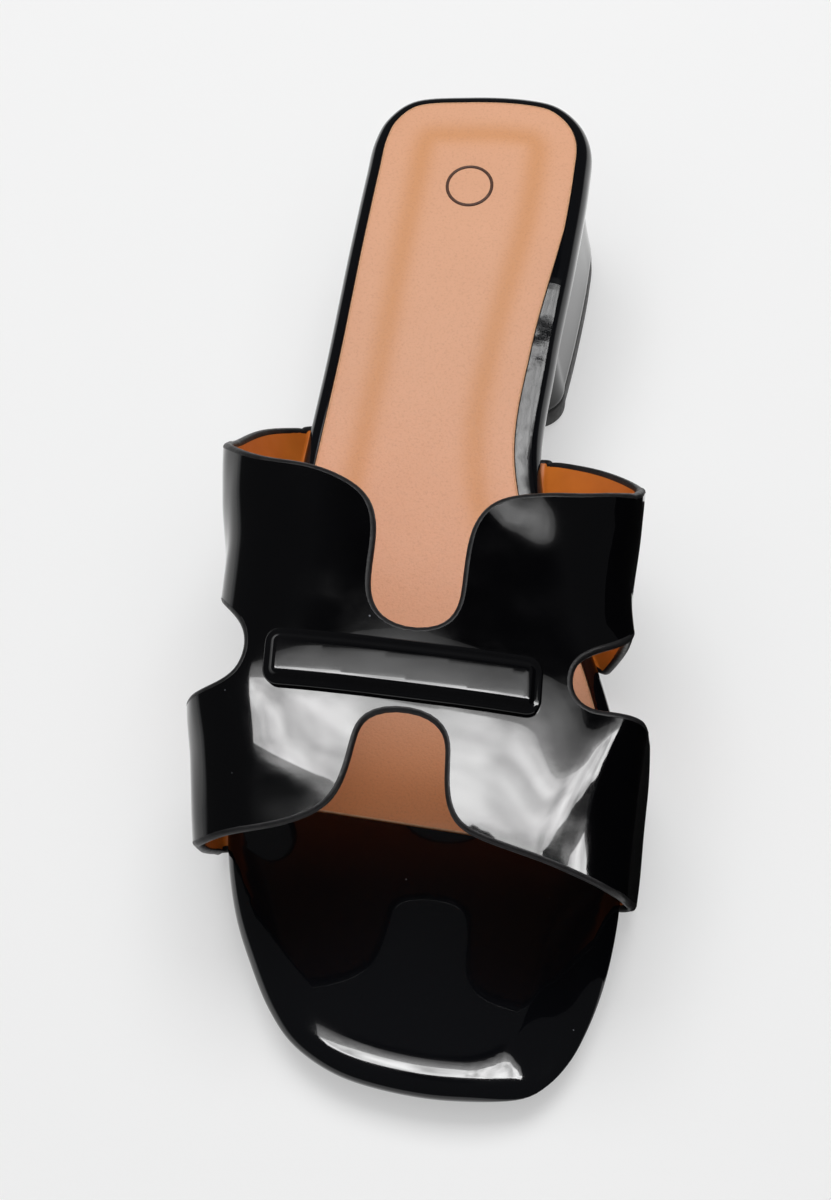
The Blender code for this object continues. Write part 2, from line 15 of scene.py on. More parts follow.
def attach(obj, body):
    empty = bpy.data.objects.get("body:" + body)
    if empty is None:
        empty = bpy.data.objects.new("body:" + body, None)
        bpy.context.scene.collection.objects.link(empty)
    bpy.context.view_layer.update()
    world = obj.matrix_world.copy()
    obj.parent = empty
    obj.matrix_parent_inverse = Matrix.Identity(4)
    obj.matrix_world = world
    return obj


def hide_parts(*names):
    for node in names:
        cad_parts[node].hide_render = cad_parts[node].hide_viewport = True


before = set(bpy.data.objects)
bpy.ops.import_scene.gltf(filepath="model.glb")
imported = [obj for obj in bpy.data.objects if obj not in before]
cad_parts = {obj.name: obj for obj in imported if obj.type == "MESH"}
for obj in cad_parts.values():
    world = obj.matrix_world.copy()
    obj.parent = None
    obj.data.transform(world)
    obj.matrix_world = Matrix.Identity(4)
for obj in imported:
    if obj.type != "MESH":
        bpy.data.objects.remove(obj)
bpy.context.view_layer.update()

MM = 0.001
SHOE_MIDDLE = np.array((-0.74, 124.987, 0.0))

# Layers
CLEAR = 0.3
OUTSOLE_THICK = 2.7
SOCK_THICK = 0.9
SOCK_SEAT = 1.0
TIP_THICK = 6.0
WALL = 2.0
PATENT_THICK = 0.95
SKIN_GAP = 0.05

# Insets from the footbed's edge, waist and straight front edge of the sock, breast and corners of the heel
OUTSOLE_INSET = 1.6
SOCK_INSET = 3.8
SOCK_WAIST_INSET = 2.6
SOCK_WAIST = (112.0, 210.0)
SOCK_FRONT = ((-21.0, 64.8), (7.0, 61.7))
HEEL_BASE_INSET = 0.6
HEEL_TOP_INSET = 3.0
HEEL_BREAST = 182.0
HEEL_CORNER = 7.5
HEEL_FLARE = 0.7
HEEL_EDGE = (0.55, 0.03)
HEEL_LEVELS = np.concatenate(([0.0, 0.012, 0.03], np.linspace(0.07, 1.0, 16)))

# Strap: bend under the footbed, flat pattern and cut edge
BEND_RADIUS = 3.2
BEND_REACH = 0.35
MARGIN = 9.0
MARGIN_TURN = 2.4
POCKET_HIGH = 2.6
POCKET_SLOPE = 0.4
LEG_SPARE = 1.5
ARCH_GIRTH = 59.0
SIDE_GIRTH = 42.0
BEND_TURN = 1.75
LEAN = (1.55, 0.275 * math.pi)
LEAN_RANGE = (0.3, 1.45)
SIDE_FULL = 0.36
# Painted shade on the lining under the vamp: full in front of the first y and inside the first turn
VAMP_SHADE_REAR = (62.0, 112.0)
VAMP_SHADE_SIDE = (1.05, 1.3)
EDGE_EASE = 2.4
EDGE_RADIUS = 1.04
EDGE_SET_IN = 0.9

# Mesh steps and counts, and shares of a grid's step that stay free beside loops, creases and rows
CURVE_STEPS = 24
RIM_STEP = 1.6
RIM_RING_STEP = 0.62
TOP_GRID = 1.6
UNDER_GRID = 6.0
TREAD_GRID = 4.0
SOCK_GRID = 1.5
STRAP_GRID = 1.5
STRAP_STEP = 1.2
HEEL_POINTS = 240
PLAQUE_STEP = 1.0
PLAQUE_POINTS = (56, 8)
SOCK_FRONT_POINTS = 54
SOCK_FRONT_FREE = 0.6
RING_POINTS = 72
ARCH_TURNS = np.linspace(-0.8, 0.8, 161)
EDGE_FREE = 0.55
CREASE_FREE = 0.35
ROW_FREE = 0.6

# Padded toe: fall for each millimetre of reach, reach in from the edge, more of both at the medial corner,
# where it ends, and the rows of points that follow its edge
TOE_FALL = 0.30
TOE_FALL_MEDIAL = 0.07
TOE_REACH = 9.0
TOE_REACH_MEDIAL = 6.0
TOE_CORNER = (14.0, 32.0)
TOE_END = (21.0, 60.0)
TOE_ROUND = 1.25
TOE_ROW = 1.0
TOE_ROW_STEP = 1.4
TOE_ROW_SLACK = 0.1
TOE_ROWS_END = 40.0

# Gathers of the cover at the medial waist, and its pull, which only tilts the shading
GATHER_HIGH = 0.07
GATHER_SPAN = (118.0, 196.0)
GATHER_RAMP = 14.0
GATHER_RISE = (0.5, 0.9)
GATHER_FADE = (2.0, 6.0)
PULL_ACROSS = (-12.0, 8.0)
COVER_PULL = np.array((
    # y, pull of the cover towards the medial edge
    (40.0, 0.0), (62.0, 0.0), (84.0, -8.7), (112.0, -8.7), (120.0, -7.9), (130.0, -7.2), (140.0, -6.55),
    (150.0, -5.95), (160.0, -5.3), (170.0, -4.5), (180.0, -3.3), (190.0, -1.6), (198.0, -0.3), (204.0, 0.0),
    (252.0, 0.0),
))

# Sock: gap round it, pressed channel inside its edge, warmer front partly painted as shade under the strap,
# raw edge, and ring stamped at the seat
SEAT_WALL = (0.1, 0.22, 0.34)
CHANNEL_DEEP = 0.5
CHANNEL_IN = 9.5
CHANNEL_HALF = 3.0
CHANNEL_START = (70.0, 118.0)
RING_CENTRE = (-2.0, 221.6)
RING_RADIUS = 5.5
RING_LINE = 0.42
RING_DROP = 0.1
SOCK_SHADE = (62.0, 102.0)
RAW_EDGE = 0.26
RAW_EDGE_IN = 0.12
RAW_EDGE_DROP = 0.2

# Fine tread: pitch, width and depth of the ribs, and their clearance at the ends and above and below
RIB_PITCH = 3.0
RIB_WIDE = 1.5
RIB_DEEP = 0.4
RIB_END = 1.5
RIB_CLEAR = 0.05
FOREFOOT_RIBS = (43.0, 87.5)
HEEL_RIBS = (187.0, 246.0)

# Plaque on the bridge
PLAQUE_CENTRE = (-2.5, 74.4)
PLAQUE_LONG = 60.0
PLAQUE_WIDE = 12.4
PLAQUE_CORNER = 3.4
PLAQUE_CORNER_LEAST = 0.6
PLAQUE_SLOPE = -0.075
PLAQUE_RINGS = (
    # inset, lift above the strap
    (0.0, 0.05), (0.0, 1.25), (0.1, 1.5), (0.28, 1.68), (0.55, 1.8), (1.0, 1.87), (1.4, 1.91),
    (1.6, 2.0), (2.2, 2.62), (2.45, 2.8), (2.75, 2.88), (3.3, 2.9),
)

# Footbed outline: distance from the toe, lateral edge, medial edge
OUTLINE = np.array((
    # y, lateral x, medial x
    (4.2, -15.6, 32.0),
    (10.2, -24.3, 36.3),
    (18.0, -30.3, 39.5),
    (28.6, -35.8, 42.4),
    (40.0, -40.6, 44.2),
    (55.0, -44.3, 45.2),
    (70.0, -46.0, 45.2),
    (85.0, -45.8, 43.0),
    (105.0, -43.7, 36.8),
    (127.0, -40.8, 27.0),
    (153.0, -37.1, 20.0),
    (178.0, -33.4, 21.8),
    (205.0, -30.5, 25.2),
    (226.0, -28.4, 27.0),
    (236.0, -27.4, 26.9),
    (243.0, -25.0, 24.0),
))
TOE_CAP = ((27.0, 0.6), (10.0, -1.2), (-6.5, 1.0))
HEEL_CAP = ((-19.0, 249.0), (-5.0, 251.0), (10.0, 250.7), (18.0, 248.6))

# Underside of the outsole with toe spring, flat tread, arch and seat, and the footbed over it
PROFILE = np.array((
    # y, height, footbed thickness
    (-4.0, 4.0, 6.2),
    (10.0, 2.2, 6.6),
    (25.0, 0.8, 7.2),
    (42.0, 0.0, 7.6),
    (88.0, 0.0, 7.8),
    (110.0, 3.2, 7.9),
    (130.0, 8.7, 8.0),
    (150.0, 15.3, 8.0),
    (170.0, 22.2, 8.1),
    (190.0, 28.3, 8.2),
    (210.0, 32.8, 8.3),
    (230.0, 35.6, 8.3),
    (252.0, 36.8, 8.3),
))

# Edges of the layers, each from its underside to its top, and the thickness that the rolled edge is drawn for
RIM_HIGH = 7.6
FOOTBED_RINGS = (
    # inset, share of thickness
    (1.1, 0.0),
    (0.2, 0.11),
    (0.0, 0.28),
    (0.0, 0.56),
    (0.5, 0.77),
    (1.5, 0.92),
    (3.2, 1.0),
)
OUTSOLE_RINGS = (
    # further inset, height
    (0.9, RIB_DEEP), (0.5, 0.0), (0.15, 0.2), (0.0, 0.7), (0.0, 2.3), (0.3, OUTSOLE_THICK),
)
TIP_RINGS = (
    # inset, height
    (1.2, RIB_DEEP), (0.8, 0.0), (0.4, 0.2), (0.2, 0.7), (0.2, 5.3), (0.35, 5.75), (0.7, TIP_THICK),
)
SOCK_RINGS = (
    # inset, drop from the top
    (0.0, SOCK_THICK), (0.0, 0.35), (0.12, 0.14), (0.4, 0.0),
)

# Form of the foot under the strap, a row for each section
LAST = np.array((
    # y, crown x, crown z, lateral x, lateral z, medial x, medial z
    (30.0, 3.0, 45.6, -44.4, 28.6, 47.6, 28.6),
    (45.0, 3.0, 50.3, -47.2, 33.3, 48.0, 33.3),
    (60.0, 2.0, 54.9, -49.2, 37.9, 48.8, 37.9),
    (75.0, 1.0, 59.2, -51.5, 42.2, 50.0, 42.2),
    (90.0, 0.0, 63.2, -46.5, 43.2, 46.4, 44.7),
    (105.0, 0.0, 67.0, -46.7, 45.0, 44.6, 47.0),
    (120.0, 0.0, 70.6, -48.8, 48.6, 45.9, 50.6),
    (135.0, 0.0, 74.0, -50.0, 52.0, 46.4, 54.0),
    (150.0, -1.0, 77.3, -49.0, 55.3, 43.4, 57.3),
    (172.0, -2.0, 82.0, -47.0, 60.0, 38.4, 62.0),
))
CROWN_FULL = 0.85
SHOULDER_FULL = 0.80

# Cut edges of the strap: turn across the arch (0 crown, 1 widest, 2 sole edge, 3 end of margin), then y
COLLAR = (
    # turn, y
    (-3.0, 163.4), (-2.0, 163.4), (-1.88, 163.1), (-1.75, 162.3), (-1.68, 160.4), (-1.56, 157.1),
    (-1.42, 152.9), (-1.26, 147.2), (-1.1, 140.8), (-0.98, 136.3), (-0.88, 133.2), (-0.745, 129.5),
    (-0.606, 126.1), (-0.433, 122.4), (-0.265, 120.0), (-0.189, 117.6), (-0.143, 115.3), (-0.113, 112.6),
    (-0.098, 108.5), (-0.093, 104.9), (-0.096, 98.4), (-0.097, 92.3), (-0.087, 88.5), (-0.058, 85.1),
    (-0.016, 83.2), (0.02, 83.3), (0.053, 85.7), (0.07, 88.9), (0.078, 97.3), (0.089, 105.8), (0.111, 110.5),
    (0.142, 113.0), (0.177, 113.9), (0.253, 114.8), (0.358, 115.9), (0.505, 117.7), (0.781, 121.9),
    (0.937, 126.3), (1.06, 130.8), (1.18, 135.9), (1.3, 141.6), (1.43, 147.1), (1.56, 151.5), (1.68, 155.0),
    (1.75, 156.8), (1.88, 157.4), (2.0, 157.5), (3.0, 157.5),
)
MEDIAL_NOTCH = (
    # turn, y
    (3.0, 108.5), (2.0, 108.5), (1.6, 105.5), (1.3, 101.0), (1.0, 94.5), (0.772, 88.4), (0.639, 85.1),
    (0.453, 81.4), (0.369, 78.4), (0.353, 75.8), (0.358, 72.5), (0.384, 70.4), (0.43, 69.4), (0.563, 69.6),
    (0.698, 70.1), (0.893, 71.2), (1.149, 74.6), (1.5, 80.0), (2.0, 84.0), (3.0, 84.0),
)
FRONT = (
    # turn, y
    (3.0, 47.6), (2.0, 47.6), (1.82, 47.5), (1.75, 47.0), (1.6, 44.8), (1.453, 42.4), (1.3, 40.2),
    (1.15, 38.3), (1.05, 37.0), (0.95, 35.5), (0.85, 34.5), (0.75, 33.9), (0.65, 33.8), (0.53, 34.4),
    (0.41, 35.5), (0.295, 37.2), (0.21, 38.7), (0.118, 40.8), (0.072, 42.6), (0.059, 44.6),
    (0.045, 48.4), (0.044, 55.2),
    (0.045, 61.0), (0.029, 63.9), (0.0, 65.9), (-0.039, 66.4), (-0.07, 65.8), (-0.091, 64.2), (-0.103, 61.1),
    (-0.117, 55.6), (-0.133, 51.1), (-0.157, 46.9), (-0.183, 44.8), (-0.243, 42.6), (-0.323, 41.1),
    (-0.496, 40.1), (-0.641, 39.7), (-0.75, 39.9), (-0.847, 40.7), (-0.95, 42.1), (-1.05, 43.5),
    (-1.25, 46.2), (-1.4, 48.5), (-1.6, 52.0), (-1.7, 54.1), (-1.75, 55.2), (-1.88, 56.4),
    (-2.0, 57.0), (-3.0, 57.0),
)
LATERAL_NOTCH = (
    # turn, y
    (-3.0, 88.0), (-2.0, 88.0), (-1.6, 83.5), (-1.2, 76.6), (-0.95, 72.9), (-0.78, 71.4), (-0.599, 71.5),
    (-0.476, 73.0), (-0.423, 75.4), (-0.42, 79.0), (-0.472, 83.5), (-0.554, 86.8), (-0.792, 93.6),
    (-1.0, 98.6), (-1.3, 105.0), (-1.6, 110.0), (-2.0, 113.0), (-3.0, 113.0),
)
# Legs of the strap where they pass under the footbed: side, front, rear
LEGS = (
    (-1, 57.0, 88.0),
    (-1, 113.0, 163.4),
    (1, 47.6, 84.0),
    (1, 108.5, 157.5),
)

# Soft folds of the strap on its flat pattern, each a crest with its own width and rise along it
STRAP_FOLDS = (
    # girth, y, half width, rise
    # medial wing: from the outer corner at the notch to the front edge
    ((44.0, 79.0, 9.0, 2.6), (38.5, 71.0, 8.5, 2.2), (33.0, 63.5, 8.0, 1.5), (29.0, 58.0, 7.5, 1.0),
     (25.5, 53.0, 7.0, 0.75), (22.5, 48.0, 6.5, 0.6), (20.0, 42.0, 6.0, 0.5), (18.0, 34.0, 6.0, 0.45)),
    # medial rear: two short rises under the collar edge
    ((16.0, 120.0, 6.0, 1.45), (17.5, 112.0, 6.0, 0.95), (18.5, 103.0, 5.5, 0.2), (19.0, 97.0, 5.0, 0.0)),
    ((9.0, 117.0, 3.5, 0.5), (10.5, 112.0, 3.5, 0.4), (11.5, 106.0, 3.0, 0.0)),
    # medial rear wing: a fine crease down to the notch
    ((43.0, 120.0, 3.0, 0.4), (36.0, 104.0, 3.0, 0.35), (29.5, 89.0, 3.0, 0.25)),
    # lateral wings: shallow hollows
    ((-38.0, 130.0, 6.0, -0.4), (-46.0, 113.0, 6.0, -0.35), (-53.0, 98.0, 6.0, -0.25)),
    ((-51.0, 72.0, 6.0, -0.3), (-45.0, 59.0, 6.0, -0.3), (-39.0, 46.0, 6.0, -0.25)),
)
FOLD_STEP = 1.0

# Studio: camera, lights and floor, in metres
CAMERA_AT = (0.06704, -0.3481, 0.5549)
CAMERA_AIM = (-0.00535, -0.01113, 0.025)
CAMERA_ROLL = -7.61
CAMERA_LENS = 82.0
SOFTBOXES = (
    # name, place, aim, turn, width, depth, watts, lights the matt surfaces, cloud, share at the rear edge
    ("front_card", (0.15, -0.176, 1.20), (0.15, -0.176, 0.0), -5.0, 1.60, 0.115, 10.0, False, 0.4, 0.85),
    ("dim_card", (0.15, -0.0725, 1.20), (0.15, -0.0725, 0.0), -5.0, 1.60, 0.092, 2.0, False, 0.25, 0.2),
    ("key_softbox", (-0.02, 0.55, 1.30), (0.0, 0.0, 0.0), 0.0, 1.1, 0.9, 12.5, True, 0.0, 1.0),
    ("ceiling_fill", (0.0, 0.0, 3.0), (0.0, 0.0, 0.0), 0.0, 5.0, 5.0, 62.0, True, 0.0, 1.0),
)
FLOOR_HALF = 2.0

# Black cards beside the medial wings, one standing and one lying at its foot, seen only in reflections as a
# painted dark reflection: x, ends, height and lift
CARD_X = (0.047, 0.063)
CARD_ENDS = (-0.092, 0.036)
CARD_HIGH = 0.075
CARD_LIFT = 4e-4

# Room: level of the walls by height, and how far it is dimmed overhead: from, to, level at each
WALLS = (0.03, 0.14, 0.62, 0.07)
OVERHEAD = (0.93, 0.98, 1.0, 0.15)
ROOM_TINT = (0.96, 0.98, 1.0, 1.0)


def smooth(table, column, at):
    """Monotone cubic through one column of a table, by the first column."""
    xs, ys = table[:, 0], table[:, column]
    step = np.diff(xs)
    rise = np.diff(ys) / step
    slope = np.empty_like(ys)
    slope[0], slope[-1] = rise[0], rise[-1]
    same = rise[:-1] * rise[1:] > 0
    near, far = 2 * step[1:] + step[:-1], step[1:] + 2 * step[:-1]
    safe = np.where(same, rise[:-1], 1.0), np.where(same, rise[1:], 1.0)
    slope[1:-1] = np.where(same, (near + far) / (near / safe[0] + far / safe[1]), 0.0)
    at = np.clip(np.asarray(at, float), xs[0], xs[-1])
    k = np.clip(np.searchsorted(xs, at) - 1, 0, len(xs) - 2)
    t = (at - xs[k]) / step[k]
    return ((2 * t**3 - 3 * t**2 + 1) * ys[k] + (t**3 - 2 * t**2 + t) * step[k] * slope[k]
            + (3 * t**2 - 2 * t**3) * ys[k + 1] + (t**3 - t**2) * step[k] * slope[k + 1])


def run_along(points):
    """Length from the first point to each."""
    return np.concatenate(([0], np.cumsum(np.linalg.norm(np.diff(points, axis=0), axis=1))))


def at_marks(points, run, marks):
    return np.stack([np.interp(marks, run, points[:, k]) for k in range(2)], 1)


def through(points, step, closed):
    """Even points along a smooth curve through the given ones."""
    pts = np.asarray(points, float)
    if closed:
        pts = np.vstack((pts[-1], pts, pts[0], pts[1]))
    else:
        pts = np.vstack((2 * pts[0] - pts[1], pts, 2 * pts[-1] - pts[-2]))
    fine = []
    t = np.linspace(0, 1, CURVE_STEPS, endpoint=False)[:, None]
    for a, b, c, d in zip(pts[:-3], pts[1:-2], pts[2:-1], pts[3:]):
        k0 = math.sqrt(np.linalg.norm(b - a))
        k1 = math.sqrt(np.linalg.norm(c - b))
        k2 = math.sqrt(np.linalg.norm(d - c))
        leave = (b - a) / k0 - (c - a) / (k0 + k1) + (c - b) / k1
        reach = (c - b) / k1 - (d - b) / (k1 + k2) + (d - c) / k2
        fine.append((2 * t**3 - 3 * t**2 + 1) * b + (t**3 - 2 * t**2 + t) * k1 * leave
                    + (3 * t**2 - 2 * t**3) * c + (t**3 - t**2) * k1 * reach)
    fine = np.vstack(fine + [pts[-2][None]])
    run = run_along(fine)
    count = max(2, int(round(run[-1] / step)))
    marks = np.linspace(0, run[-1], count + 1)
    return at_marks(fine, run, marks[:-1] if closed else marks)


def ease(low, high, at):
    """Smooth step from 0 at low to 1 at high."""
    t = np.clip((np.asarray(at, float) - low) / (high - low), 0, 1)
    return t * t * (3 - 2 * t)


def signed_area(loop):
    """Twice the area, above zero for a counterclockwise loop."""
    x, y = loop[:, 0], loop[:, 1]
    return np.sum(x * np.roll(y, -1) - np.roll(x, -1) * y)


def counterclockwise(loop):
    return loop if signed_area(loop) > 0 else loop[::-1]


def inset_loop(loop, amount):
    """Loop moved inwards along its own normals; amount may differ from point to point."""
    along = np.roll(loop, -1, 0) - np.roll(loop, 1, 0)
    along /= np.linalg.norm(along, axis=1)[:, None]
    inward = np.stack((-along[:, 1], along[:, 0]), 1)
    return loop + inward * np.reshape(np.asarray(amount, float) * np.ones(len(loop)), (-1, 1))


def inside(loop, pts):
    hit = np.zeros(len(pts), bool)
    for (ax, ay), (bx, by) in zip(loop, np.roll(loop, -1, 0)):
        if ay == by:
            continue
        cross = (ay > pts[:, 1]) != (by > pts[:, 1])
        hit ^= cross & (pts[:, 0] < (bx - ax) * (pts[:, 1] - ay) / (by - ay) + ax)
    return hit


def edge_distance(loop, pts):
    best = np.full(len(pts), 1e9)
    for a, b in zip(loop, np.roll(loop, -1, 0)):
        along = b - a
        t = np.clip(((pts - a) @ along) / (along @ along), 0, 1)
        best = np.minimum(best, np.linalg.norm(pts - a - t[:, None] * along, axis=1))
    return best


def fill(loop, grid, creases=(), rows=()):
    """Triangles over a loop, with creases kept as edges, rows of points and a staggered grid between.

    The loop's own points come first.
    """
    low, high = loop.min(0), loop.max(0)
    down = np.arange(math.floor(low[1] / grid), math.ceil(high[1] / grid) + 1)
    across = np.arange(math.floor(low[0] / grid) - 1, math.ceil(high[0] / grid) + 1)
    mesh = np.array([((c + 0.5 * (r % 2)) * grid, r * grid) for r in down for c in across], float)
    mesh = mesh[inside(loop, mesh)]
    mesh = mesh[edge_distance(loop, mesh) > EDGE_FREE * grid]
    kept, edges = [loop], []
    for crease in creases:
        mesh = mesh[edge_distance(crease, mesh) > CREASE_FREE * grid]
        first = sum(len(part) for part in kept)
        edges += [(first + i, first + (i + 1) % len(crease)) for i in range(len(crease))]
        kept.append(crease)
    for row in rows:
        mesh = mesh[np.linalg.norm(mesh[:, None] - row[None], axis=2).min(1) > ROW_FREE * grid]
        kept.append(row)
    flat = np.vstack(kept + [mesh])
    made = delaunay_2d_cdt([Vector(p) for p in flat], edges, [list(range(len(loop)))], 1, 1e-6)
    back = [ids[0] for ids in made[3]]
    return flat, [[back[i] for i in face] for face in made[2]]


def placed(name, data):
    thing = bpy.data.objects.new(name, data)
    bpy.context.scene.collection.objects.link(thing)
    return thing


def make_piece(name, verts, faces, material, stands_for, marks=None, sharp=40.0):
    """Closed smooth mesh from shoe points, riding on the shoe and standing for the named nodes."""
    bm = bmesh.new()
    made = [bm.verts.new(Vector(p)) for p in (np.asarray(verts, float) - SHOE_MIDDLE) * MM]
    for face in faces:
        bm.faces.new([made[i] for i in face])
    bmesh.ops.recalc_face_normals(bm, faces=bm.faces)
    mesh = bpy.data.meshes.new(name)
    bm.to_mesh(mesh)
    bm.free()
    mesh.shade_smooth()
    mesh.set_sharp_from_angle(angle=math.radians(sharp))
    for mark, values in (marks or {}).items():
        mesh.attributes.new(mark, "FLOAT", "POINT").data.foreach_set("value", np.asarray(values, np.float32))
    mesh.materials.append(material)
    seat_piece(placed(name, mesh), stands_for)


def seat_piece(piece, stands_for=()):
    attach(piece, "root")
    if stands_for:
        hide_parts(*stands_for)


def side_faces(levels, count):
    """Faces between stacked loops of equal count, bottom first."""
    faces = []
    for a in range(0, (levels - 1) * count, count):
        for i in range(count):
            j = (i + 1) % count
            faces.append([a + i, a + j, a + count + j, a + count + i])
    return faces


def cap_faces(tris, first, count, start, under):
    """Faces of a cap whose loop begins at first and whose other points follow start."""
    faces = [[first + i if i < count else start + i for i in tri] for tri in tris]
    return [face[::-1] for face in faces] if under else faces


def layers(rings, low_grid, high_grid, cap_height, creases=(), rows=()):
    """Skin over stacked loops of equal count: rings of (loop, heights), bottom first, closed by two caps."""
    count, last = len(rings[0][0]), len(rings) - 1
    verts = []
    for loop, heights in rings:
        verts.extend(np.column_stack((loop, heights)))
    faces = side_faces(len(rings), count)
    for level, height, made in ((0, cap_height[0], fill(rings[0][0], low_grid)),
                                (last, cap_height[1], fill(rings[last][0], high_grid, creases, rows))):
        flat, tris = made
        start = len(verts) - count
        verts.extend(np.column_stack((flat[count:], height(flat[count:]))))
        faces += cap_faces(tris, level * count, count, start, level == 0)
    return np.array(verts), faces


def sole_height(y):
    return smooth(PROFILE, 1, y)


def over_sole(pts, lift, share=0.0):
    """Height above the outsole's underside: a lift, and a share of the footbed's thickness."""
    return sole_height(pts[:, 1]) + lift + share * smooth(PROFILE, 2, pts[:, 1])


def sole_edge(side, y):
    return smooth(OUTLINE, 1 if side < 0 else 2, y)


def footbed_outline():
    lateral = [(row[1], row[0]) for row in OUTLINE]
    medial = [(row[2], row[0]) for row in OUTLINE[::-1]]
    loop = list(TOE_CAP) + lateral + list(HEEL_CAP) + medial
    return counterclockwise(through(loop, RIM_STEP, True))


def toe_fall(pts, depth):
    """How far the padded toe falls below the flat top, at a depth in from the outline."""
    corner = ease(*TOE_CORNER, pts[:, 0])
    reach = TOE_REACH + TOE_REACH_MEDIAL * corner
    near = np.clip(1 - np.asarray(depth, float) / reach, 0, 1)
    fall = (TOE_FALL + TOE_FALL_MEDIAL * corner) * reach * near**TOE_ROUND
    return fall * (1 - ease(*TOE_END, pts[:, 1]))


def toe_rows(outline):
    """Rows of points that follow the toe's edge over its padded part."""
    loop = np.roll(outline, -int(np.argmax(outline[:, 1])), 0)
    first = FOOTBED_RINGS[-1][0] + TOE_ROW
    rows = []
    for inset in np.arange(first, TOE_REACH + TOE_REACH_MEDIAL + 2 * TOE_ROW, TOE_ROW):
        row = inset_loop(loop, inset)
        row = row[(row[:, 1] < TOE_ROWS_END) & (edge_distance(loop, row) > inset - TOE_ROW_SLACK)]
        run = run_along(row)
        rows.append(at_marks(row, run, np.linspace(0, run[-1], int(run[-1] / TOE_ROW_STEP))))
    return rows


def gathers(pts, depth):
    """Small lengthwise wrinkles of the cover where it is drawn round the medial waist."""
    y = pts[:, 1]
    front, rear = GATHER_SPAN
    span = ease(front, front + GATHER_RAMP, y) * (1 - ease(rear - GATHER_RAMP, rear, y))
    across = np.sin(2.1 * depth + 0.45 * np.sin(0.21 * y) + 0.9 * np.sin(0.083 * y + 1.0))
    short = np.sin(0.62 * y + 1.7 * depth) * np.sin(0.37 * y - 0.8 * depth)
    return np.where(pts[:, 0] > 0, GATHER_HIGH * span * (0.6 * across + 0.5 * short), 0.0)


def build_footbed(outline, cover):
    lift = OUTSOLE_THICK + CLEAR
    legs = np.zeros(len(outline), bool)
    for side, front, rear in LEGS:
        beside = (outline[:, 1] > front - LEG_SPARE) & (outline[:, 1] < rear + LEG_SPARE)
        legs |= beside & (np.sign(outline[:, 0]) == side)
    rings = []
    profile = [(inset, RIM_HIGH * share) for inset, share in FOOTBED_RINGS]
    for inset, rise in through(profile, RIM_RING_STEP, False):
        loop = inset_loop(outline, inset)
        share = rise / RIM_HIGH
        height = over_sole(loop, lift, share) - share * toe_fall(loop, inset)
        height += ease(*GATHER_RISE, share) * gathers(loop, inset)
        pocket = over_sole(loop, lift) + POCKET_HIGH + POCKET_SLOPE * rise
        rings.append((loop, np.where(legs, np.maximum(height, pocket), height)))
    seat = sock_outline(outline)
    foot, middle, brink = (inset_loop(seat, -gap) for gap in SEAT_WALL)

    def top(pts):
        depth = edge_distance(outline, pts)
        fade = 1 - ease(*GATHER_FADE, edge_distance(seat, pts) * inside(seat, pts))
        high = over_sole(pts, lift, 1.0) - toe_fall(pts, depth) + fade * gathers(pts, depth)
        return high - SOCK_SEAT * inside(middle, pts)

    caps = (lambda pts: over_sole(pts, lift), top)
    verts, faces = layers(rings, UNDER_GRID, TOP_GRID, caps, (brink, foot), toe_rows(outline))
    marks = {"pull": smooth(COVER_PULL, 1, verts[:, 1]) * ease(*PULL_ACROSS, verts[:, 0])}
    make_piece("footbed_cover", verts, faces, cover, ("footbed",), marks, sharp=50.0)


def build_outsole(outline, rubber):
    rings = []
    for inset, lift in OUTSOLE_RINGS:
        loop = inset_loop(outline, OUTSOLE_INSET + inset)
        rings.append((loop, over_sole(loop, lift)))
    caps = (lambda pts: over_sole(pts, RIB_DEEP), lambda pts: over_sole(pts, OUTSOLE_THICK))
    verts, faces = layers(rings, TREAD_GRID, UNDER_GRID, caps)
    make_piece("outsole_sheet", verts, faces, rubber, ("outsole",))


def heel_outline(outline, inset, breast):
    """Seat outline behind the breast, inset, with rounded front corners, from the middle of the breast."""
    loop = inset_loop(outline, inset)
    seat = loop[loop[:, 1] > breast + HEEL_CORNER + 0.5]
    start = int(np.argmax(np.linalg.norm(np.roll(seat, 1, 0) - seat, axis=1)))
    seat = np.roll(seat, -start, 0)
    quarter = np.linspace(0, math.pi / 2, 15)
    rounds = []
    for corner in (seat[0], seat[-1]):
        side = np.sign(corner[0])
        rounds.append(np.column_stack((
            corner[0] - side * HEEL_CORNER * (1 - np.cos(quarter)),
            breast + HEEL_CORNER * (1 - np.sin(quarter)))))
    middle = (rounds[0][-1] + rounds[1][-1]) / 2
    loop = np.vstack((middle, rounds[0][::-1], seat, rounds[1], middle))
    run = run_along(loop)
    return at_marks(loop, run, np.linspace(0, run[-1], HEEL_POINTS + 1)[:-1])


def build_heel(outline, cover, rubber):
    top = heel_outline(outline, HEEL_TOP_INSET, HEEL_BREAST + 1.0)
    base = heel_outline(outline, HEEL_BASE_INSET, HEEL_BREAST)
    foot = TIP_THICK + CLEAR
    rings = []
    for share in HEEL_LEVELS:
        blend = share ** HEEL_FLARE
        loop = base * (1 - blend) + top * blend
        loop = inset_loop(loop, HEEL_EDGE[0] * max(0.0, 1 - share / HEEL_EDGE[1]) ** 2)
        rings.append((loop, foot + share * (sole_height(loop[:, 1]) - CLEAR - foot)))
    caps = (lambda pts: np.full(len(pts), foot), lambda pts: sole_height(pts[:, 1]) - CLEAR)
    verts, faces = layers(rings, UNDER_GRID, UNDER_GRID, caps)
    make_piece("heel_cover", verts, faces, cover, ("heel_block",))
    rings = [(inset_loop(base, inset), np.full(len(base), height)) for inset, height in TIP_RINGS]
    caps = (lambda pts: np.full(len(pts), RIB_DEEP), lambda pts: np.full(len(pts), TIP_THICK))
    verts, faces = layers(rings, UNDER_GRID, UNDER_GRID, caps)
    make_piece("heel_top_piece", verts, faces, rubber, ("heel_tip",))
    return rings[0][0]


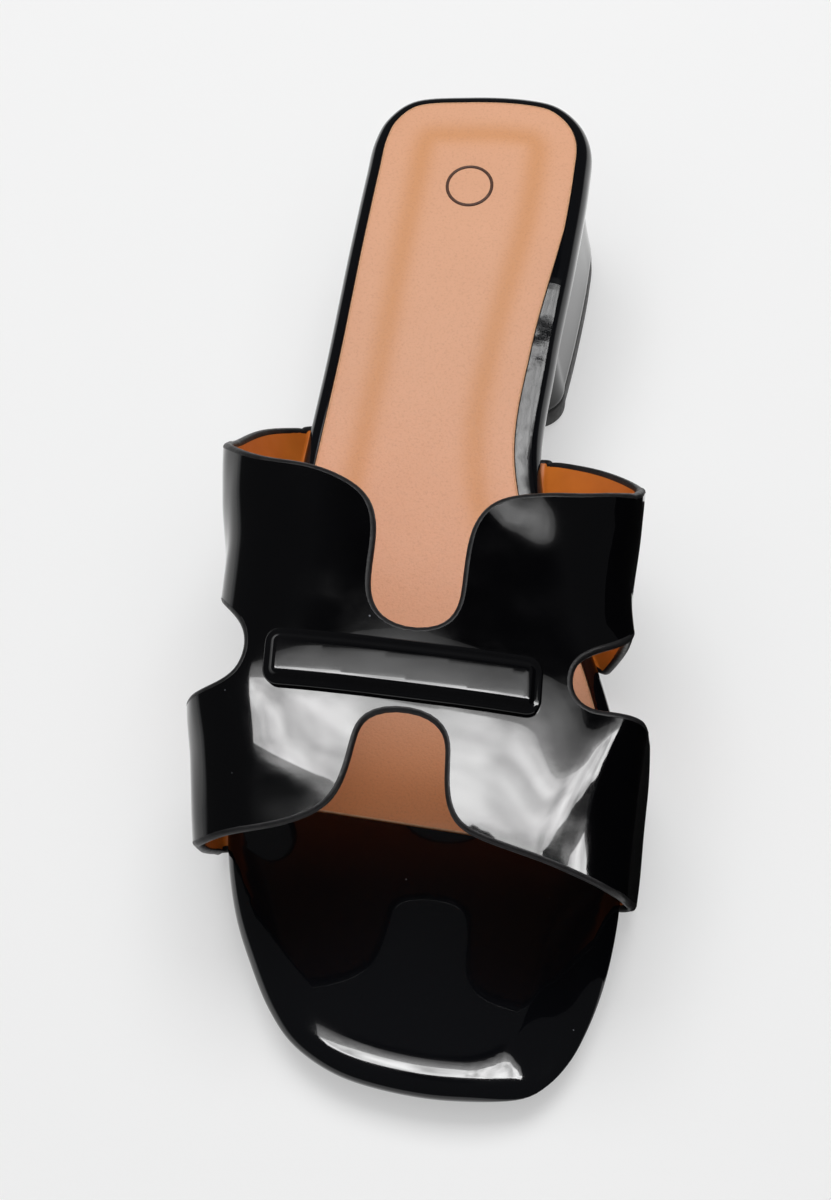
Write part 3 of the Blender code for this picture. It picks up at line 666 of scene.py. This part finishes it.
def sock_front(x):
    """Straight front edge of the sock."""
    (ax, ay), (bx, by) = SOCK_FRONT
    return ay + (by - ay) / (bx - ax) * (x - ax)


def sock_outline(outline):
    """Sock lining from the straight front edge round the heel, further in at the medial waist."""
    waist = np.clip((outline[:, 1] - SOCK_WAIST[0]) / (SOCK_WAIST[1] - SOCK_WAIST[0]), 0, 1)
    extra = np.where(outline[:, 0] > 0, SOCK_WAIST_INSET * np.sin(math.pi * waist), 0.0)
    loop = inset_loop(outline, SOCK_INSET + extra)
    line = sock_front(loop[:, 0])
    start = int(np.argmax((loop[:, 1] > line) & (np.roll(loop[:, 1], 1) <= np.roll(line, 1))))
    loop = np.roll(loop, -start, 0)
    loop = loop[loop[:, 1] > sock_front(loop[:, 0]) + SOCK_FRONT_FREE]
    corner = [(x, sock_front(x)) for x in (loop[-1][0], loop[0][0])]
    return np.vstack((loop, np.linspace(corner[0], corner[1], SOCK_FRONT_POINTS)))


def channel(loop, pts):
    """Pressed channel of the sock, from 0 to 1, running forward on both sides and round the seat."""
    depth = edge_distance(loop, pts)
    start = ease(CHANNEL_START[0], CHANNEL_START[1], pts[:, 1])
    return start * np.exp(-((depth - CHANNEL_IN) / CHANNEL_HALF) ** 2)


def sock_height(pts):
    return over_sole(pts, OUTSOLE_THICK + CLEAR - SOCK_SEAT + CLEAR + SOCK_THICK, 1.0)


def build_sock(outline, leather, raw, ink):
    loop = sock_outline(outline)
    rings = []
    for inset, drop in SOCK_RINGS:
        ring = inset_loop(loop, inset)
        rings.append((ring, sock_height(ring) - drop))
    caps = (lambda pts: sock_height(pts) - SOCK_THICK,
            lambda pts: sock_height(pts) - CHANNEL_DEEP * channel(loop, pts))
    verts, faces = layers(rings, UNDER_GRID, SOCK_GRID, caps)
    # front: the sock under the strap, tinted partly as its own warmer colour and partly as painted shade
    marks = {"press": channel(loop, verts[:, :2]), "front": 1 - ease(*SOCK_SHADE, verts[:, 1])}
    make_piece("sock_leather", verts, faces, leather, ("insole_sock",), marks)
    angle = np.linspace(0, 2 * math.pi, RING_POINTS + 1)[:-1]
    edge = inset_loop(loop, RAW_EDGE_IN)
    ring = np.column_stack((np.cos(angle), np.sin(angle))) * RING_RADIUS + RING_CENTRE
    for name, path, drop, radius, material in (("sock_raw_edge", edge, RAW_EDGE_DROP, RAW_EDGE, raw),
                                               ("sock_ring", ring, RING_DROP, RING_LINE, ink)):
        run = np.column_stack((path, sock_height(path) - drop))
        follow_paths(name, [run], radius, material, closed=True)


def bezier(a, b, c, d, t):
    return (1 - t)**3 * a + 3 * (1 - t)**2 * t * b + 3 * (1 - t) * t**2 * c + t**3 * d


def strap_point(turn, y):
    """Outer face of the strap at a turn across the arch, counted as in the cut edges, and a y."""
    side = np.where(turn < 0, -1.0, 1.0)
    t = np.abs(turn)
    crown_x, crown_z = smooth(LAST, 1, y), smooth(LAST, 2, y)
    wide_x = np.where(side < 0, smooth(LAST, 3, y), smooth(LAST, 5, y))
    wide_z = np.where(side < 0, smooth(LAST, 4, y), smooth(LAST, 6, y))
    foot_x = np.where(side < 0, sole_edge(-1, y), sole_edge(1, y)) + side * BEND_REACH
    foot_z = sole_height(y) + OUTSOLE_THICK + CLEAR
    u = np.clip(t, 0, 1)
    x = bezier(crown_x, crown_x + (wide_x - crown_x) * CROWN_FULL, wide_x, wide_x, u)
    z = bezier(crown_z, crown_z, wide_z + (crown_z - wide_z) * SHOULDER_FULL, wide_z, u)
    out, rise = np.abs(wide_x - foot_x), wide_z - foot_z
    chord = np.arctan2(rise, out)
    lean = np.clip(LEAN[0] * chord - LEAN[1], *LEAN_RANGE)
    bend_x, bend_z = foot_x + side * BEND_RADIUS * np.sin(lean), foot_z + BEND_RADIUS * (1 - np.cos(lean))
    reach = SIDE_FULL * np.hypot(wide_x - bend_x, wide_z - bend_z)
    v = np.clip((t - 1) / (BEND_TURN - 1), 0, 1)
    side_x = bezier(wide_x, wide_x, bend_x + side * reach * np.cos(lean), bend_x, v)
    side_z = bezier(wide_z, wide_z - reach, bend_z + reach * np.sin(lean), bend_z, v)
    w = lean * (1 - np.clip((t - BEND_TURN) / (2 - BEND_TURN), 0, 1))
    arc_x, arc_z = foot_x + side * BEND_RADIUS * np.sin(w), foot_z + BEND_RADIUS * (1 - np.cos(w))
    x = np.where(t > 1, np.where(t > BEND_TURN, arc_x, side_x), x)
    z = np.where(t > 1, np.where(t > BEND_TURN, arc_z, side_z), z)
    x = x - side * MARGIN * np.clip(t - 2, 0, 1)
    return np.stack((x, y, z), -1)


def strap_normal(turn, y):
    turn_step, y_step = 0.004, 0.2
    across = strap_point(turn + turn_step, y) - strap_point(turn - turn_step, y)
    along = strap_point(turn, y + y_step) - strap_point(turn, y - y_step)
    normal = np.cross(across, along)
    return normal / np.linalg.norm(normal, axis=-1)[..., None]


def girth(turn):
    """Length on the flat pattern from the crown to a turn."""
    t = np.abs(turn)
    side = ARCH_GIRTH + SIDE_GIRTH * (t - 1)
    margin = ARCH_GIRTH + SIDE_GIRTH + MARGIN * (t - 2)
    return np.sign(turn) * np.where(t < 1, ARCH_GIRTH * t, np.where(t < 2, side, margin))


def turn_of(run):
    """Turn at a length on the flat pattern from the crown."""
    g = np.abs(run)
    far = ARCH_GIRTH + SIDE_GIRTH
    side, margin = 1 + (g - ARCH_GIRTH) / SIDE_GIRTH, 2 + (g - far) / MARGIN
    return np.sign(run) * np.where(g < ARCH_GIRTH, g / ARCH_GIRTH, np.where(g < far, side, margin))


def eased(run, step, reach):
    """Run of even points with its small unevenness smoothed away, ends kept."""
    count = int(3 * reach / step)
    ends = 2 * run[0] - run[count:0:-1], 2 * run[-1] - run[-2:-count - 2:-1]
    longer = np.vstack((ends[0], run, ends[1]))
    share = np.exp(-0.5 * (np.arange(-count, count + 1) * step / reach) ** 2)
    share /= share.sum()
    return np.stack([np.convolve(longer[:, k], share, "valid") for k in range(2)], 1)


def strap_edges():
    """The four cut edges on the flat pattern, in order round it, each a run of (girth, y)."""
    runs = []
    for edge in (COLLAR, MEDIAL_NOTCH, FRONT, LATERAL_NOTCH):
        table = np.array(edge)
        turn = np.clip(table[:, 0], -MARGIN_TURN, MARGIN_TURN)
        run = through(np.column_stack((girth(turn), table[:, 1])), STRAP_STEP, False)
        runs.append(eased(run, STRAP_STEP, EDGE_EASE))
    return runs


def strap_pattern():
    """Flat pattern as one closed loop, set in for the edge, and the part that each cut edge takes."""
    loop, parts = [], []
    runs = strap_edges()
    for run, follow in zip(runs, runs[1:] + runs[:1]):
        parts.append((len(loop), len(loop) + len(run)))
        loop.extend(run)
        count = max(2, int(round(np.linalg.norm(follow[0] - run[-1]) / STRAP_STEP)))
        loop.extend(np.linspace(run[-1], follow[0], count + 1)[1:-1])
    loop = np.array(loop)
    return inset_loop(loop, EDGE_SET_IN * np.sign(signed_area(loop))), parts


def fold_rise(flat):
    """Soft troughs and ridges of the strap at places of its flat pattern."""
    rise = np.zeros(len(flat))
    for fold in FOLD_CRESTS:
        away = np.linalg.norm(flat[:, None] - fold[None, :, :2], axis=2)
        weight = np.exp(-((away - away.min(1)[:, None]) / FOLD_STEP) ** 2)
        weight /= weight.sum(1)[:, None]
        rise += (weight @ fold[:, 3]) * np.exp(-(away.min(1) / (weight @ fold[:, 2])) ** 2)
    return rise


def fold_crests():
    """Stations of every fold, close together along a smooth crest."""
    crests = []
    for fold in STRAP_FOLDS:
        table = np.array(fold)
        line = through(table[:, :2], 0.5 * FOLD_STEP, False)
        place = np.linspace(0, 1, len(line))
        run = run_along(table[:, :2])
        sizes = [np.interp(place, run / run[-1], table[:, k]) for k in (2, 3)]
        crests.append(np.column_stack((line, *sizes)))
    return crests


def strap_at(flat, lift):
    """Shoe points over places of the flat pattern, lifted off the strap's outer face."""
    turn, y = turn_of(flat[:, 0]), flat[:, 1]
    up = np.asarray(lift, float) + fold_rise(flat)
    return strap_point(turn, y) + np.reshape(up * np.ones(len(flat)), (-1, 1)) * strap_normal(turn, y)


def build_strap(patent, lining, edge_paint):
    loop, parts = strap_pattern()
    flat, tris = fill(loop, STRAP_GRID)
    count, border = len(flat), len(loop)
    # Painted shade: the lining is darkened under the vamp
    vamp_shade = (1 - ease(*VAMP_SHADE_REAR, flat[:, 1])) * (1 - ease(*VAMP_SHADE_SIDE, np.abs(turn_of(flat[:, 0]))))
    for name, high, low, material, slot in (
            ("strap_patent", 0.0, -PATENT_THICK, patent, "black_patent"),
            ("strap_lining", -PATENT_THICK - SKIN_GAP, -WALL, lining, "tan_sock")):
        verts = np.vstack((strap_at(flat, high), strap_at(flat, low)))
        faces = [list(tri) for tri in tris] + [[i + count for i in tri[::-1]] for tri in tris]
        for i in range(border):
            j = (i + 1) % border
            faces.append([j, i, i + count, j + count])
        make_piece(name, verts, faces, material, ("upper",), {"vamp_shade": np.tile(vamp_shade, 2)})
    middle = strap_at(loop, -WALL / 2)
    runs = [middle[start:stop] for start, stop in parts]
    follow_paths("strap_edge", runs, EDGE_RADIUS, edge_paint, ("upper",))


def on_strap(x, y, lift):
    """Points above the strap's arch at places seen from above."""
    turns = []
    for a, b in zip(x, y):
        across = strap_point(ARCH_TURNS, np.full(len(ARCH_TURNS), b))[:, 0]
        turns.append(np.interp(a, across, ARCH_TURNS))
    return strap_at(np.column_stack((girth(np.array(turns)), y)), lift)


def plaque_loop(inset):
    """Rounded bar, seen from above, with even points along its sides."""
    half_long, half_wide = PLAQUE_LONG / 2 - inset, PLAQUE_WIDE / 2 - inset
    corner = max(PLAQUE_CORNER - inset, PLAQUE_CORNER_LEAST)
    loop = []
    for sx, sy, start in ((1, 1, 0), (-1, 1, 90), (-1, -1, 180), (1, -1, 270)):
        centre = np.array((sx * (half_long - corner), sy * (half_wide - corner)))
        turn = np.radians(start + np.linspace(0, 90, 10))
        loop.append(centre + corner * np.column_stack((np.cos(turn), np.sin(turn))))
        ends = ((-sx * (half_long - corner), sy * half_wide) if start in (0, 180)
                else (sx * half_long, -sy * (half_wide - corner)))
        steps = PLAQUE_POINTS[0 if start in (0, 180) else 1]
        loop.append(np.linspace(loop[-1][-1], ends, steps + 1)[1:-1])
    loop = np.vstack(loop)
    x = PLAQUE_CENTRE[0] + loop[:, 0]
    y = PLAQUE_CENTRE[1] + loop[:, 1] + PLAQUE_SLOPE * loop[:, 0]
    return np.column_stack((x, y))


def build_plaque(gloss):
    verts = []
    count = len(plaque_loop(0.0))
    for inset, lift in PLAQUE_RINGS:
        verts.extend(on_strap(*plaque_loop(inset).T, lift))
    faces = side_faces(len(PLAQUE_RINGS), count)
    for level in (0, len(PLAQUE_RINGS) - 1):
        inset, lift = PLAQUE_RINGS[level]
        flat, tris = fill(plaque_loop(inset), PLAQUE_STEP)
        start = len(verts) - count
        verts.extend(on_strap(*flat[count:].T, lift))
        faces += cap_faces(tris, level * count, count, start, level == 0)
    make_piece("plaque_bar", verts, faces, gloss, ("vamp_plaque",), sharp=35.0)


def add_node(tree, kind, inputs=None, **settings):
    """Node with its settings, and its inputs set to values or linked from other sockets."""
    node = tree.nodes.new(kind)
    for key, value in settings.items():
        setattr(node, key, value)
    for key, value in (inputs or {}).items():
        if isinstance(value, bpy.types.NodeSocket):
            tree.links.new(value, node.inputs[key])
        else:
            node.inputs[key].default_value = value
    return node


def new_tree(name, sizes):
    """Geometry Nodes tree with a mesh in, named sizes, a material, and a mesh out."""
    tree = bpy.data.node_groups.new(name, "GeometryNodeTree")
    tree.interface.new_socket("Geometry", in_out="INPUT", socket_type="NodeSocketGeometry")
    for size in sizes:
        tree.interface.new_socket(size, in_out="INPUT", socket_type="NodeSocketFloat")
    tree.interface.new_socket("Material", in_out="INPUT", socket_type="NodeSocketMaterial")
    tree.interface.new_socket("Geometry", in_out="OUTPUT", socket_type="NodeSocketGeometry")
    return tree, tree.nodes.new("NodeGroupInput").outputs


def close_tree(tree, geometry, material):
    smooth_faces = add_node(tree, "GeometryNodeSetShadeSmooth", {"Geometry": geometry})
    real = add_node(tree, "GeometryNodeRealizeInstances", {"Geometry": smooth_faces.outputs[0]})
    dressed = add_node(tree, "GeometryNodeSetMaterial", {"Geometry": real.outputs[0], "Material": material})
    out = tree.nodes.new("NodeGroupOutput")
    tree.links.new(dressed.outputs[0], out.inputs[0])


def rolled_edge_tree():
    """A round bead along every edge path of the mesh."""
    tree, given = new_tree("rolled_edge", ("Radius",))
    path = add_node(tree, "GeometryNodeMeshToCurve", {"Mesh": given["Geometry"]})
    section = add_node(tree, "GeometryNodeCurvePrimitiveCircle", {
        "Resolution": 12, "Radius": given["Radius"]})
    bead = add_node(tree, "GeometryNodeCurveToMesh", {
        "Curve": path.outputs[0], "Profile Curve": section.outputs[0], "Fill Caps": True})
    close_tree(tree, bead.outputs[0], given["Material"])
    return tree


def tread_rib_tree():
    """A bar across the sole at every point, as long as the point's reach."""
    tree, given = new_tree("tread_ribs", ("Width", "Depth"))
    size = add_node(tree, "ShaderNodeCombineXYZ", {"X": 1.0, "Y": given["Width"], "Z": given["Depth"]})
    bar = add_node(tree, "GeometryNodeMeshCube", {"Size": size.outputs[0]})
    reach = add_node(tree, "GeometryNodeInputNamedAttribute", {"Name": "reach"}, data_type="FLOAT")
    stretch = add_node(tree, "ShaderNodeCombineXYZ", {"X": reach.outputs[0], "Y": 1.0, "Z": 1.0})
    bars = add_node(tree, "GeometryNodeInstanceOnPoints", {
        "Points": given["Geometry"], "Instance": bar.outputs[0], "Scale": stretch.outputs[0]})
    close_tree(tree, bars.outputs[0], given["Material"])
    return tree


def grow(name, seed_mesh, tree, sizes, material):
    """Plain mesh object grown by a tree from a seed mesh."""
    seed = placed(name + "_seed", seed_mesh)
    modifier = seed.modifiers.new(tree.name, "NODES")
    modifier.node_group = tree
    values = dict(sizes, Material=material)
    for item in tree.interface.items_tree:
        if item.in_out == "INPUT" and item.name in values:
            modifier[item.identifier] = values[item.name]
    view = bpy.context.evaluated_depsgraph_get()
    mesh = bpy.data.meshes.new_from_object(seed.evaluated_get(view))
    mesh.name = name
    bpy.data.objects.remove(seed, do_unlink=True)
    return placed(name, mesh)


def follow_paths(name, runs, radius, material, stands_for=(), closed=False):
    """Bead along runs of shoe points."""
    verts, edges = [], []
    for run in runs:
        start, count = len(verts), len(run)
        verts.extend((np.asarray(run) - SHOE_MIDDLE) * MM)
        edges.extend((start + i, start + i + 1) for i in range(count - 1))
        if closed:
            edges.append((start + count - 1, start))
    mesh = bpy.data.meshes.new(name + "_path")
    mesh.from_pydata([tuple(v) for v in verts], edges, [])
    piece = grow(name, mesh, rolled_edge, {"Radius": radius * MM}, material)
    seat_piece(piece, stands_for)


def build_ribs(name, loop, span, rubber):
    """Fine tread ribs across a sole loop, standing on the ground plane."""
    rows = np.arange(span[0], span[1], RIB_PITCH)
    points, reaches = [], []
    for y in rows:
        crossing = []
        for (ax, ay), (bx, by) in zip(loop, np.roll(loop, -1, 0)):
            if (ay > y) != (by > y):
                crossing.append(ax + (bx - ax) * (y - ay) / (by - ay))
        low, high = min(crossing) + RIB_END, max(crossing) - RIB_END
        points.append(((low + high) / 2, y, RIB_DEEP / 2 + RIB_CLEAR))
        reaches.append((high - low) * MM)
    mesh = bpy.data.meshes.new(name + "_rows")
    mesh.from_pydata([tuple(p) for p in (np.array(points) - SHOE_MIDDLE) * MM], [], [])
    mesh.attributes.new("reach", "FLOAT", "POINT").data.foreach_set("value", np.array(reaches, np.float32))
    sizes = {"Width": RIB_WIDE * MM, "Depth": (RIB_DEEP - 2 * RIB_CLEAR) * MM}
    seat_piece(grow(name, mesh, tread_ribs, sizes, rubber))


def map_range(tree, value, low, high, to_low, to_high):
    node = add_node(tree, "ShaderNodeMapRange", {
        "Value": value, "From Min": low, "From Max": high, "To Min": to_low, "To Max": to_high})
    return node.outputs[0]


def combine(tree, operation, a, b):
    return add_node(tree, "ShaderNodeMath", {0: a, 1: b}, operation=operation).outputs[0]


class Finish:
    """One finish of the shoe: a material with helpers for its grain, wear and colour."""

    def __init__(self, name, **sockets):
        self.material = bpy.data.materials.new(name)
        self.material.use_nodes = True
        self.tree = self.material.node_tree
        self.shader = self.tree.nodes["Principled BSDF"]
        self.where = add_node(self.tree, "ShaderNodeTexCoord").outputs["Object"]
        for key, value in sockets.items():
            self.put(key.replace("_", " "), value)

    def put(self, key, value):
        if isinstance(value, bpy.types.NodeSocket):
            self.tree.links.new(value, self.shader.inputs[key])
        else:
            self.shader.inputs[key].default_value = value

    def noise(self, size, detail=2.0, stretch=(1.0, 1.0, 1.0)):
        """Cloudy value with features of a size in millimetres."""
        spot = add_node(self.tree, "ShaderNodeMapping", {"Vector": self.where, "Scale": stretch})
        node = add_node(self.tree, "ShaderNodeTexNoise", {
            "Vector": spot.outputs[0], "Scale": 1000.0 / size, "Detail": detail})
        return node.outputs[0]

    def cells(self, size):
        node = add_node(self.tree, "ShaderNodeTexVoronoi", {"Vector": self.where, "Scale": 1000.0 / size})
        return node.outputs

    def spread(self, value, low, high, to_low=0.0, to_high=1.0):
        return map_range(self.tree, value, low, high, to_low, to_high)

    def math(self, operation, a, b):
        return combine(self.tree, operation, a, b)

    def blend(self, share, a, b):
        node = add_node(self.tree, "ShaderNodeMix", {0: share, 6: a, 7: b}, data_type="RGBA")
        return node.outputs[2]

    def tint(self, size, detail, dark, light):
        """Base colour in clouds between two shades."""
        self.put("Base Color", self.blend(self.noise(size, detail), (*dark, 1), (*light, 1)))

    def rub(self, size, detail, polished, rough, low=0.3):
        """Roughness in clouds between two levels."""
        self.put("Roughness", self.spread(self.noise(size, detail), low, 0.7, polished, rough))

    def mark(self, name):
        return add_node(self.tree, "ShaderNodeAttribute", attribute_name=name).outputs["Fac"]

    def emboss(self, *heights):
        """Bump from (value, depth in millimetres), one over the other."""
        normal = None
        for value, depth in heights:
            inputs = {"Height": value, "Distance": depth * MM, "Strength": 1.0}
            if normal is not None:
                inputs["Normal"] = normal
            normal = add_node(self.tree, "ShaderNodeBump", inputs).outputs[0]
        self.put("Normal", normal)
        return self.material


def specks(look, size, share):
    """Few fine dust specks: the middles of some cells."""
    spot = look.cells(size)
    shade = add_node(look.tree, "ShaderNodeSeparateColor", {0: spot["Color"]}).outputs[0]
    some = look.math("GREATER_THAN", shade, 1.0 - share)
    return look.math("MULTIPLY", some, look.spread(spot["Distance"], 0.012, 0.03, 1.0, 0.0))


def coated(name, coat, roughness):
    """Finish under a clear coat."""
    return Finish(name, Coat_Weight=coat, Coat_Roughness=roughness, IOR=1.5, Specular_IOR_Level=0.2)


def black_patent(name, coat, black, dust, smear):
    """Black patent with dust of a size and share, and smears of a size."""
    look = coated(name, coat, 0.015)
    look.put("Base Color", look.blend(specks(look, *dust), black, (0.2, 0.21, 0.23, 1)))
    look.rub(smear, 3.0, 0.05, 0.12, 0.35)
    return look


def patent_finish():
    look = black_patent("black_patent_coat", 0.5, (0.0012, 0.0012, 0.0016, 1), (9.0, 0.5), 14.0)
    return look.emboss((look.noise(26.0, 1.0), 0.4), (look.noise(9.0, 1.0), 0.05),
                       (look.noise(2.2, 2.0), 0.004))


def cover_finish():
    look = black_patent("footbed_patent_cover", 0.7, (0.0024, 0.0026, 0.0036, 1), (8.0, 0.6), 18.0)
    crease = look.noise(3.0, 3.0, (1.0, 0.25, 1.0))
    return look.emboss((look.mark("pull"), 1.0), (look.noise(30.0, 1.0), 0.04), (crease, 0.012),
                       (look.noise(1.6, 2.0), 0.003))


def gloss_finish():
    look = coated("heel_and_plaque_gloss", 0.5, 0.02)
    look.tint(20.0, 2.0, (0.0015, 0.0015, 0.002), (0.003, 0.003, 0.0035))
    look.rub(10.0, 3.0, 0.06, 0.13, 0.35)
    return look.emboss((look.noise(16.0, 1.0), 0.05), (look.noise(1.2, 2.0), 0.002))


def edge_finish():
    look = Finish("strap_edge_paint", Specular_IOR_Level=0.3)
    look.tint(3.0, 3.0, (0.004, 0.004, 0.0045), (0.022, 0.021, 0.022))
    look.rub(1.5, 3.0, 0.3, 0.5)
    return look.emboss((look.noise(1.1, 3.0), 0.08))


def sock_finish():
    look = Finish("sock_tan_leather", Specular_IOR_Level=0.35, Sheen_Weight=0.08, Sheen_Roughness=0.5)
    cloud = look.noise(26.0, 3.0)
    plain = look.blend(cloud, (0.71, 0.362, 0.213, 1), (0.78, 0.414, 0.253, 1))
    pressed = look.blend(look.spread(look.mark("press"), 0.0, 1.0, 0.0, 0.8), plain, (0.66, 0.298, 0.122, 1))
    # Warmer, darker front: partly the sock's own colour, partly painted shade under the strap
    shaded_front = look.blend(look.spread(look.mark("front"), 0.0, 1.0, 0.0, 0.85), pressed, (0.80, 0.30, 0.10, 1))
    pores = look.spread(look.noise(0.55, 2.0), 0.25, 0.5, 1.0, 0.0)
    look.put("Base Color", look.blend(look.math("MULTIPLY", pores, 0.22), shaded_front, (0.42, 0.18, 0.09, 1)))
    look.rub(0.9, 2.0, 0.42, 0.58)
    return look.emboss((look.noise(0.75, 2.0), 0.05), (look.cells(0.5)["Distance"], 0.03))


def lining_finish():
    look = Finish("strap_tan_lining", Specular_IOR_Level=0.45)
    streak = look.noise(6.0, 3.0, (1.0, 1.0, 0.2))
    rear = look.blend(streak, (0.61, 0.155, 0.02, 1), (0.78, 0.228, 0.032, 1))
    # The lining under the vamp is painted dark, as shade
    look.put("Base Color", look.blend(look.mark("vamp_shade"), rear, (0.06, 0.036, 0.026, 1)))
    look.rub(2.0, 3.0, 0.28, 0.42)
    return look.emboss((look.noise(5.0, 2.0), 0.1), (look.noise(0.8, 2.0), 0.02))


def raw_finish():
    look = Finish("sock_raw_fibre")
    look.tint(0.8, 3.0, (0.50, 0.24, 0.12), (0.78, 0.46, 0.27))
    look.rub(0.6, 2.0, 0.6, 0.8)
    return look.emboss((look.noise(0.5, 3.0), 0.08))


def ink_finish():
    look = Finish("sock_pressed_ring")
    look.tint(0.9, 2.0, (0.045, 0.02, 0.012), (0.12, 0.05, 0.03))
    look.rub(0.7, 2.0, 0.4, 0.6)
    return look.emboss((look.noise(0.5, 2.0), 0.03))


def rubber_finish():
    look = Finish("sole_rubber", Specular_IOR_Level=0.4)
    look.tint(7.0, 3.0, (0.012, 0.012, 0.012), (0.03, 0.029, 0.028))
    look.rub(1.4, 3.0, 0.42, 0.62)
    return look.emboss((look.noise(0.6, 3.0), 0.05))


def floor_finish():
    look = Finish("studio_paper", Specular_IOR_Level=0.2, Emission_Color=(1, 1, 1, 1), Emission_Strength=0.42)
    look.tint(300.0, 2.0, (0.48, 0.48, 0.48), (0.492, 0.492, 0.492))
    look.rub(40.0, 2.0, 0.8, 0.9)
    return look.emboss((look.noise(1.0, 2.0), 0.01))


def felt_finish():
    look = Finish("studio_black_felt", Specular_IOR_Level=0.1)
    look.tint(4.0, 2.0, (0.003, 0.003, 0.003), (0.006, 0.006, 0.006))
    look.rub(2.0, 2.0, 0.85, 0.95)
    return look.emboss((look.noise(0.8, 2.0), 0.05))


def cloud_card(lamp, aspect, cloud, rear):
    """Uneven white of a diffuser in front of a lamp, fading to a share of itself at its rear edge."""
    lamp.use_nodes = True
    tree = lamp.node_tree
    place = add_node(tree, "ShaderNodeNewGeometry").outputs["Parametric"]
    even = add_node(tree, "ShaderNodeMapping", {"Vector": place, "Scale": (0.3 * aspect, 1.0, 1.0)})
    patch = add_node(tree, "ShaderNodeTexNoise", {"Vector": even.outputs[0], "Scale": 2.2, "Detail": 2.0})
    level = map_range(tree, patch.outputs[0], 0.35, 0.65, 1 - cloud, 1 + cloud)
    across = add_node(tree, "ShaderNodeSeparateXYZ", {"Vector": place}).outputs["Y"]
    fade = map_range(tree, across, 0.0, 1.0, 1.0, rear)
    tree.links.new(combine(tree, "MULTIPLY", level, fade), tree.nodes["Emission"].inputs["Strength"])


def stage_sheet(name, corners, material):
    mesh = bpy.data.meshes.new(name)
    mesh.from_pydata(corners, [], [(0, 1, 2, 3)])
    mesh.materials.append(material)
    sheet = placed(name, mesh)
    return sheet


def build_stage():
    h = FLOOR_HALF
    stage_sheet("studio_floor", [(-h, -h, 0), (h, -h, 0), (h, h, 0), (-h, h, 0)], floor_finish())
    (near, far), (front, rear) = CARD_X, CARD_ENDS
    felt = felt_finish()
    for name, sides in (
            ("studio_black_reflection_card", ((far, 0.0), (far, CARD_HIGH))),
            ("studio_black_reflection_base", ((near, CARD_LIFT), (far, CARD_LIFT)))):
        (ax, az), (bx, bz) = sides
        corners = [(ax, front, az), (bx, front, bz), (bx, rear, bz), (ax, rear, az)]
        card = stage_sheet(name, corners, felt)
        # Seen only in reflections: a painted dark reflection on the medial wings
        card.visible_camera = card.visible_diffuse = card.visible_shadow = False


def light_stage():
    for name, place, aim, turn, width, depth, watts, matt, cloud, rear in SOFTBOXES:
        lamp = bpy.data.lights.new(name, "AREA")
        lamp.shape = "RECTANGLE"
        lamp.size, lamp.size_y = width, depth
        lamp.energy = watts
        box = placed(name, lamp)
        box.location = place
        box.visible_diffuse, box.visible_glossy, box.visible_camera = matt, not matt, False
        box.rotation_mode = "QUATERNION"
        facing = (Vector(aim) - Vector(place)).to_track_quat("-Z", "Y")
        box.rotation_quaternion = facing @ Quaternion((0, 0, 1), math.radians(turn))
        if cloud:
            cloud_card(lamp, width / depth, cloud, rear)


def build_room():
    world = bpy.data.worlds.new("studio_room")
    world.use_nodes = True
    tree = world.node_tree
    where = add_node(tree, "ShaderNodeTexCoord").outputs["Generated"]
    height = add_node(tree, "ShaderNodeSeparateXYZ", {"Vector": where}).outputs["Z"]
    walls, overhead = map_range(tree, height, *WALLS), map_range(tree, height, *OVERHEAD)
    room = tree.nodes["Background"]
    tree.links.new(combine(tree, "MULTIPLY", walls, overhead), room.inputs["Strength"])
    room.inputs["Color"].default_value = ROOM_TINT
    bpy.context.scene.world = world
    bpy.context.scene.view_settings.view_transform = "Standard"


def set_camera():
    data = bpy.data.cameras.new("photo_view")
    data.lens = CAMERA_LENS
    data.clip_start, data.clip_end = 0.02, 40.0
    camera = placed("photo_view", data)
    towards = (Vector(CAMERA_AIM) - Vector(CAMERA_AT)).to_track_quat("-Z", "Y")
    turn = towards.to_matrix().to_4x4() @ Matrix.Rotation(math.radians(CAMERA_ROLL), 4, "Z")
    camera.matrix_world = Matrix.Translation(CAMERA_AT) @ turn
    bpy.context.scene.camera = camera


rolled_edge = rolled_edge_tree()
tread_ribs = tread_rib_tree()
patent, gloss, rubber = patent_finish(), gloss_finish(), rubber_finish()
outline = footbed_outline()
FOLD_CRESTS = fold_crests()

build_stage()
light_stage()
build_room()
set_camera()
build_footbed(outline, cover_finish())
build_outsole(outline, rubber)
heel_loop = build_heel(outline, gloss, rubber)
build_sock(outline, sock_finish(), raw_finish(), ink_finish())
build_strap(patent, lining_finish(), edge_finish())
build_plaque(gloss)
build_ribs("outsole_ribs", inset_loop(outline, OUTSOLE_INSET + OUTSOLE_RINGS[0][0]), FOREFOOT_RIBS, rubber)
build_ribs("heel_ribs", heel_loop, HEEL_RIBS, rubber)
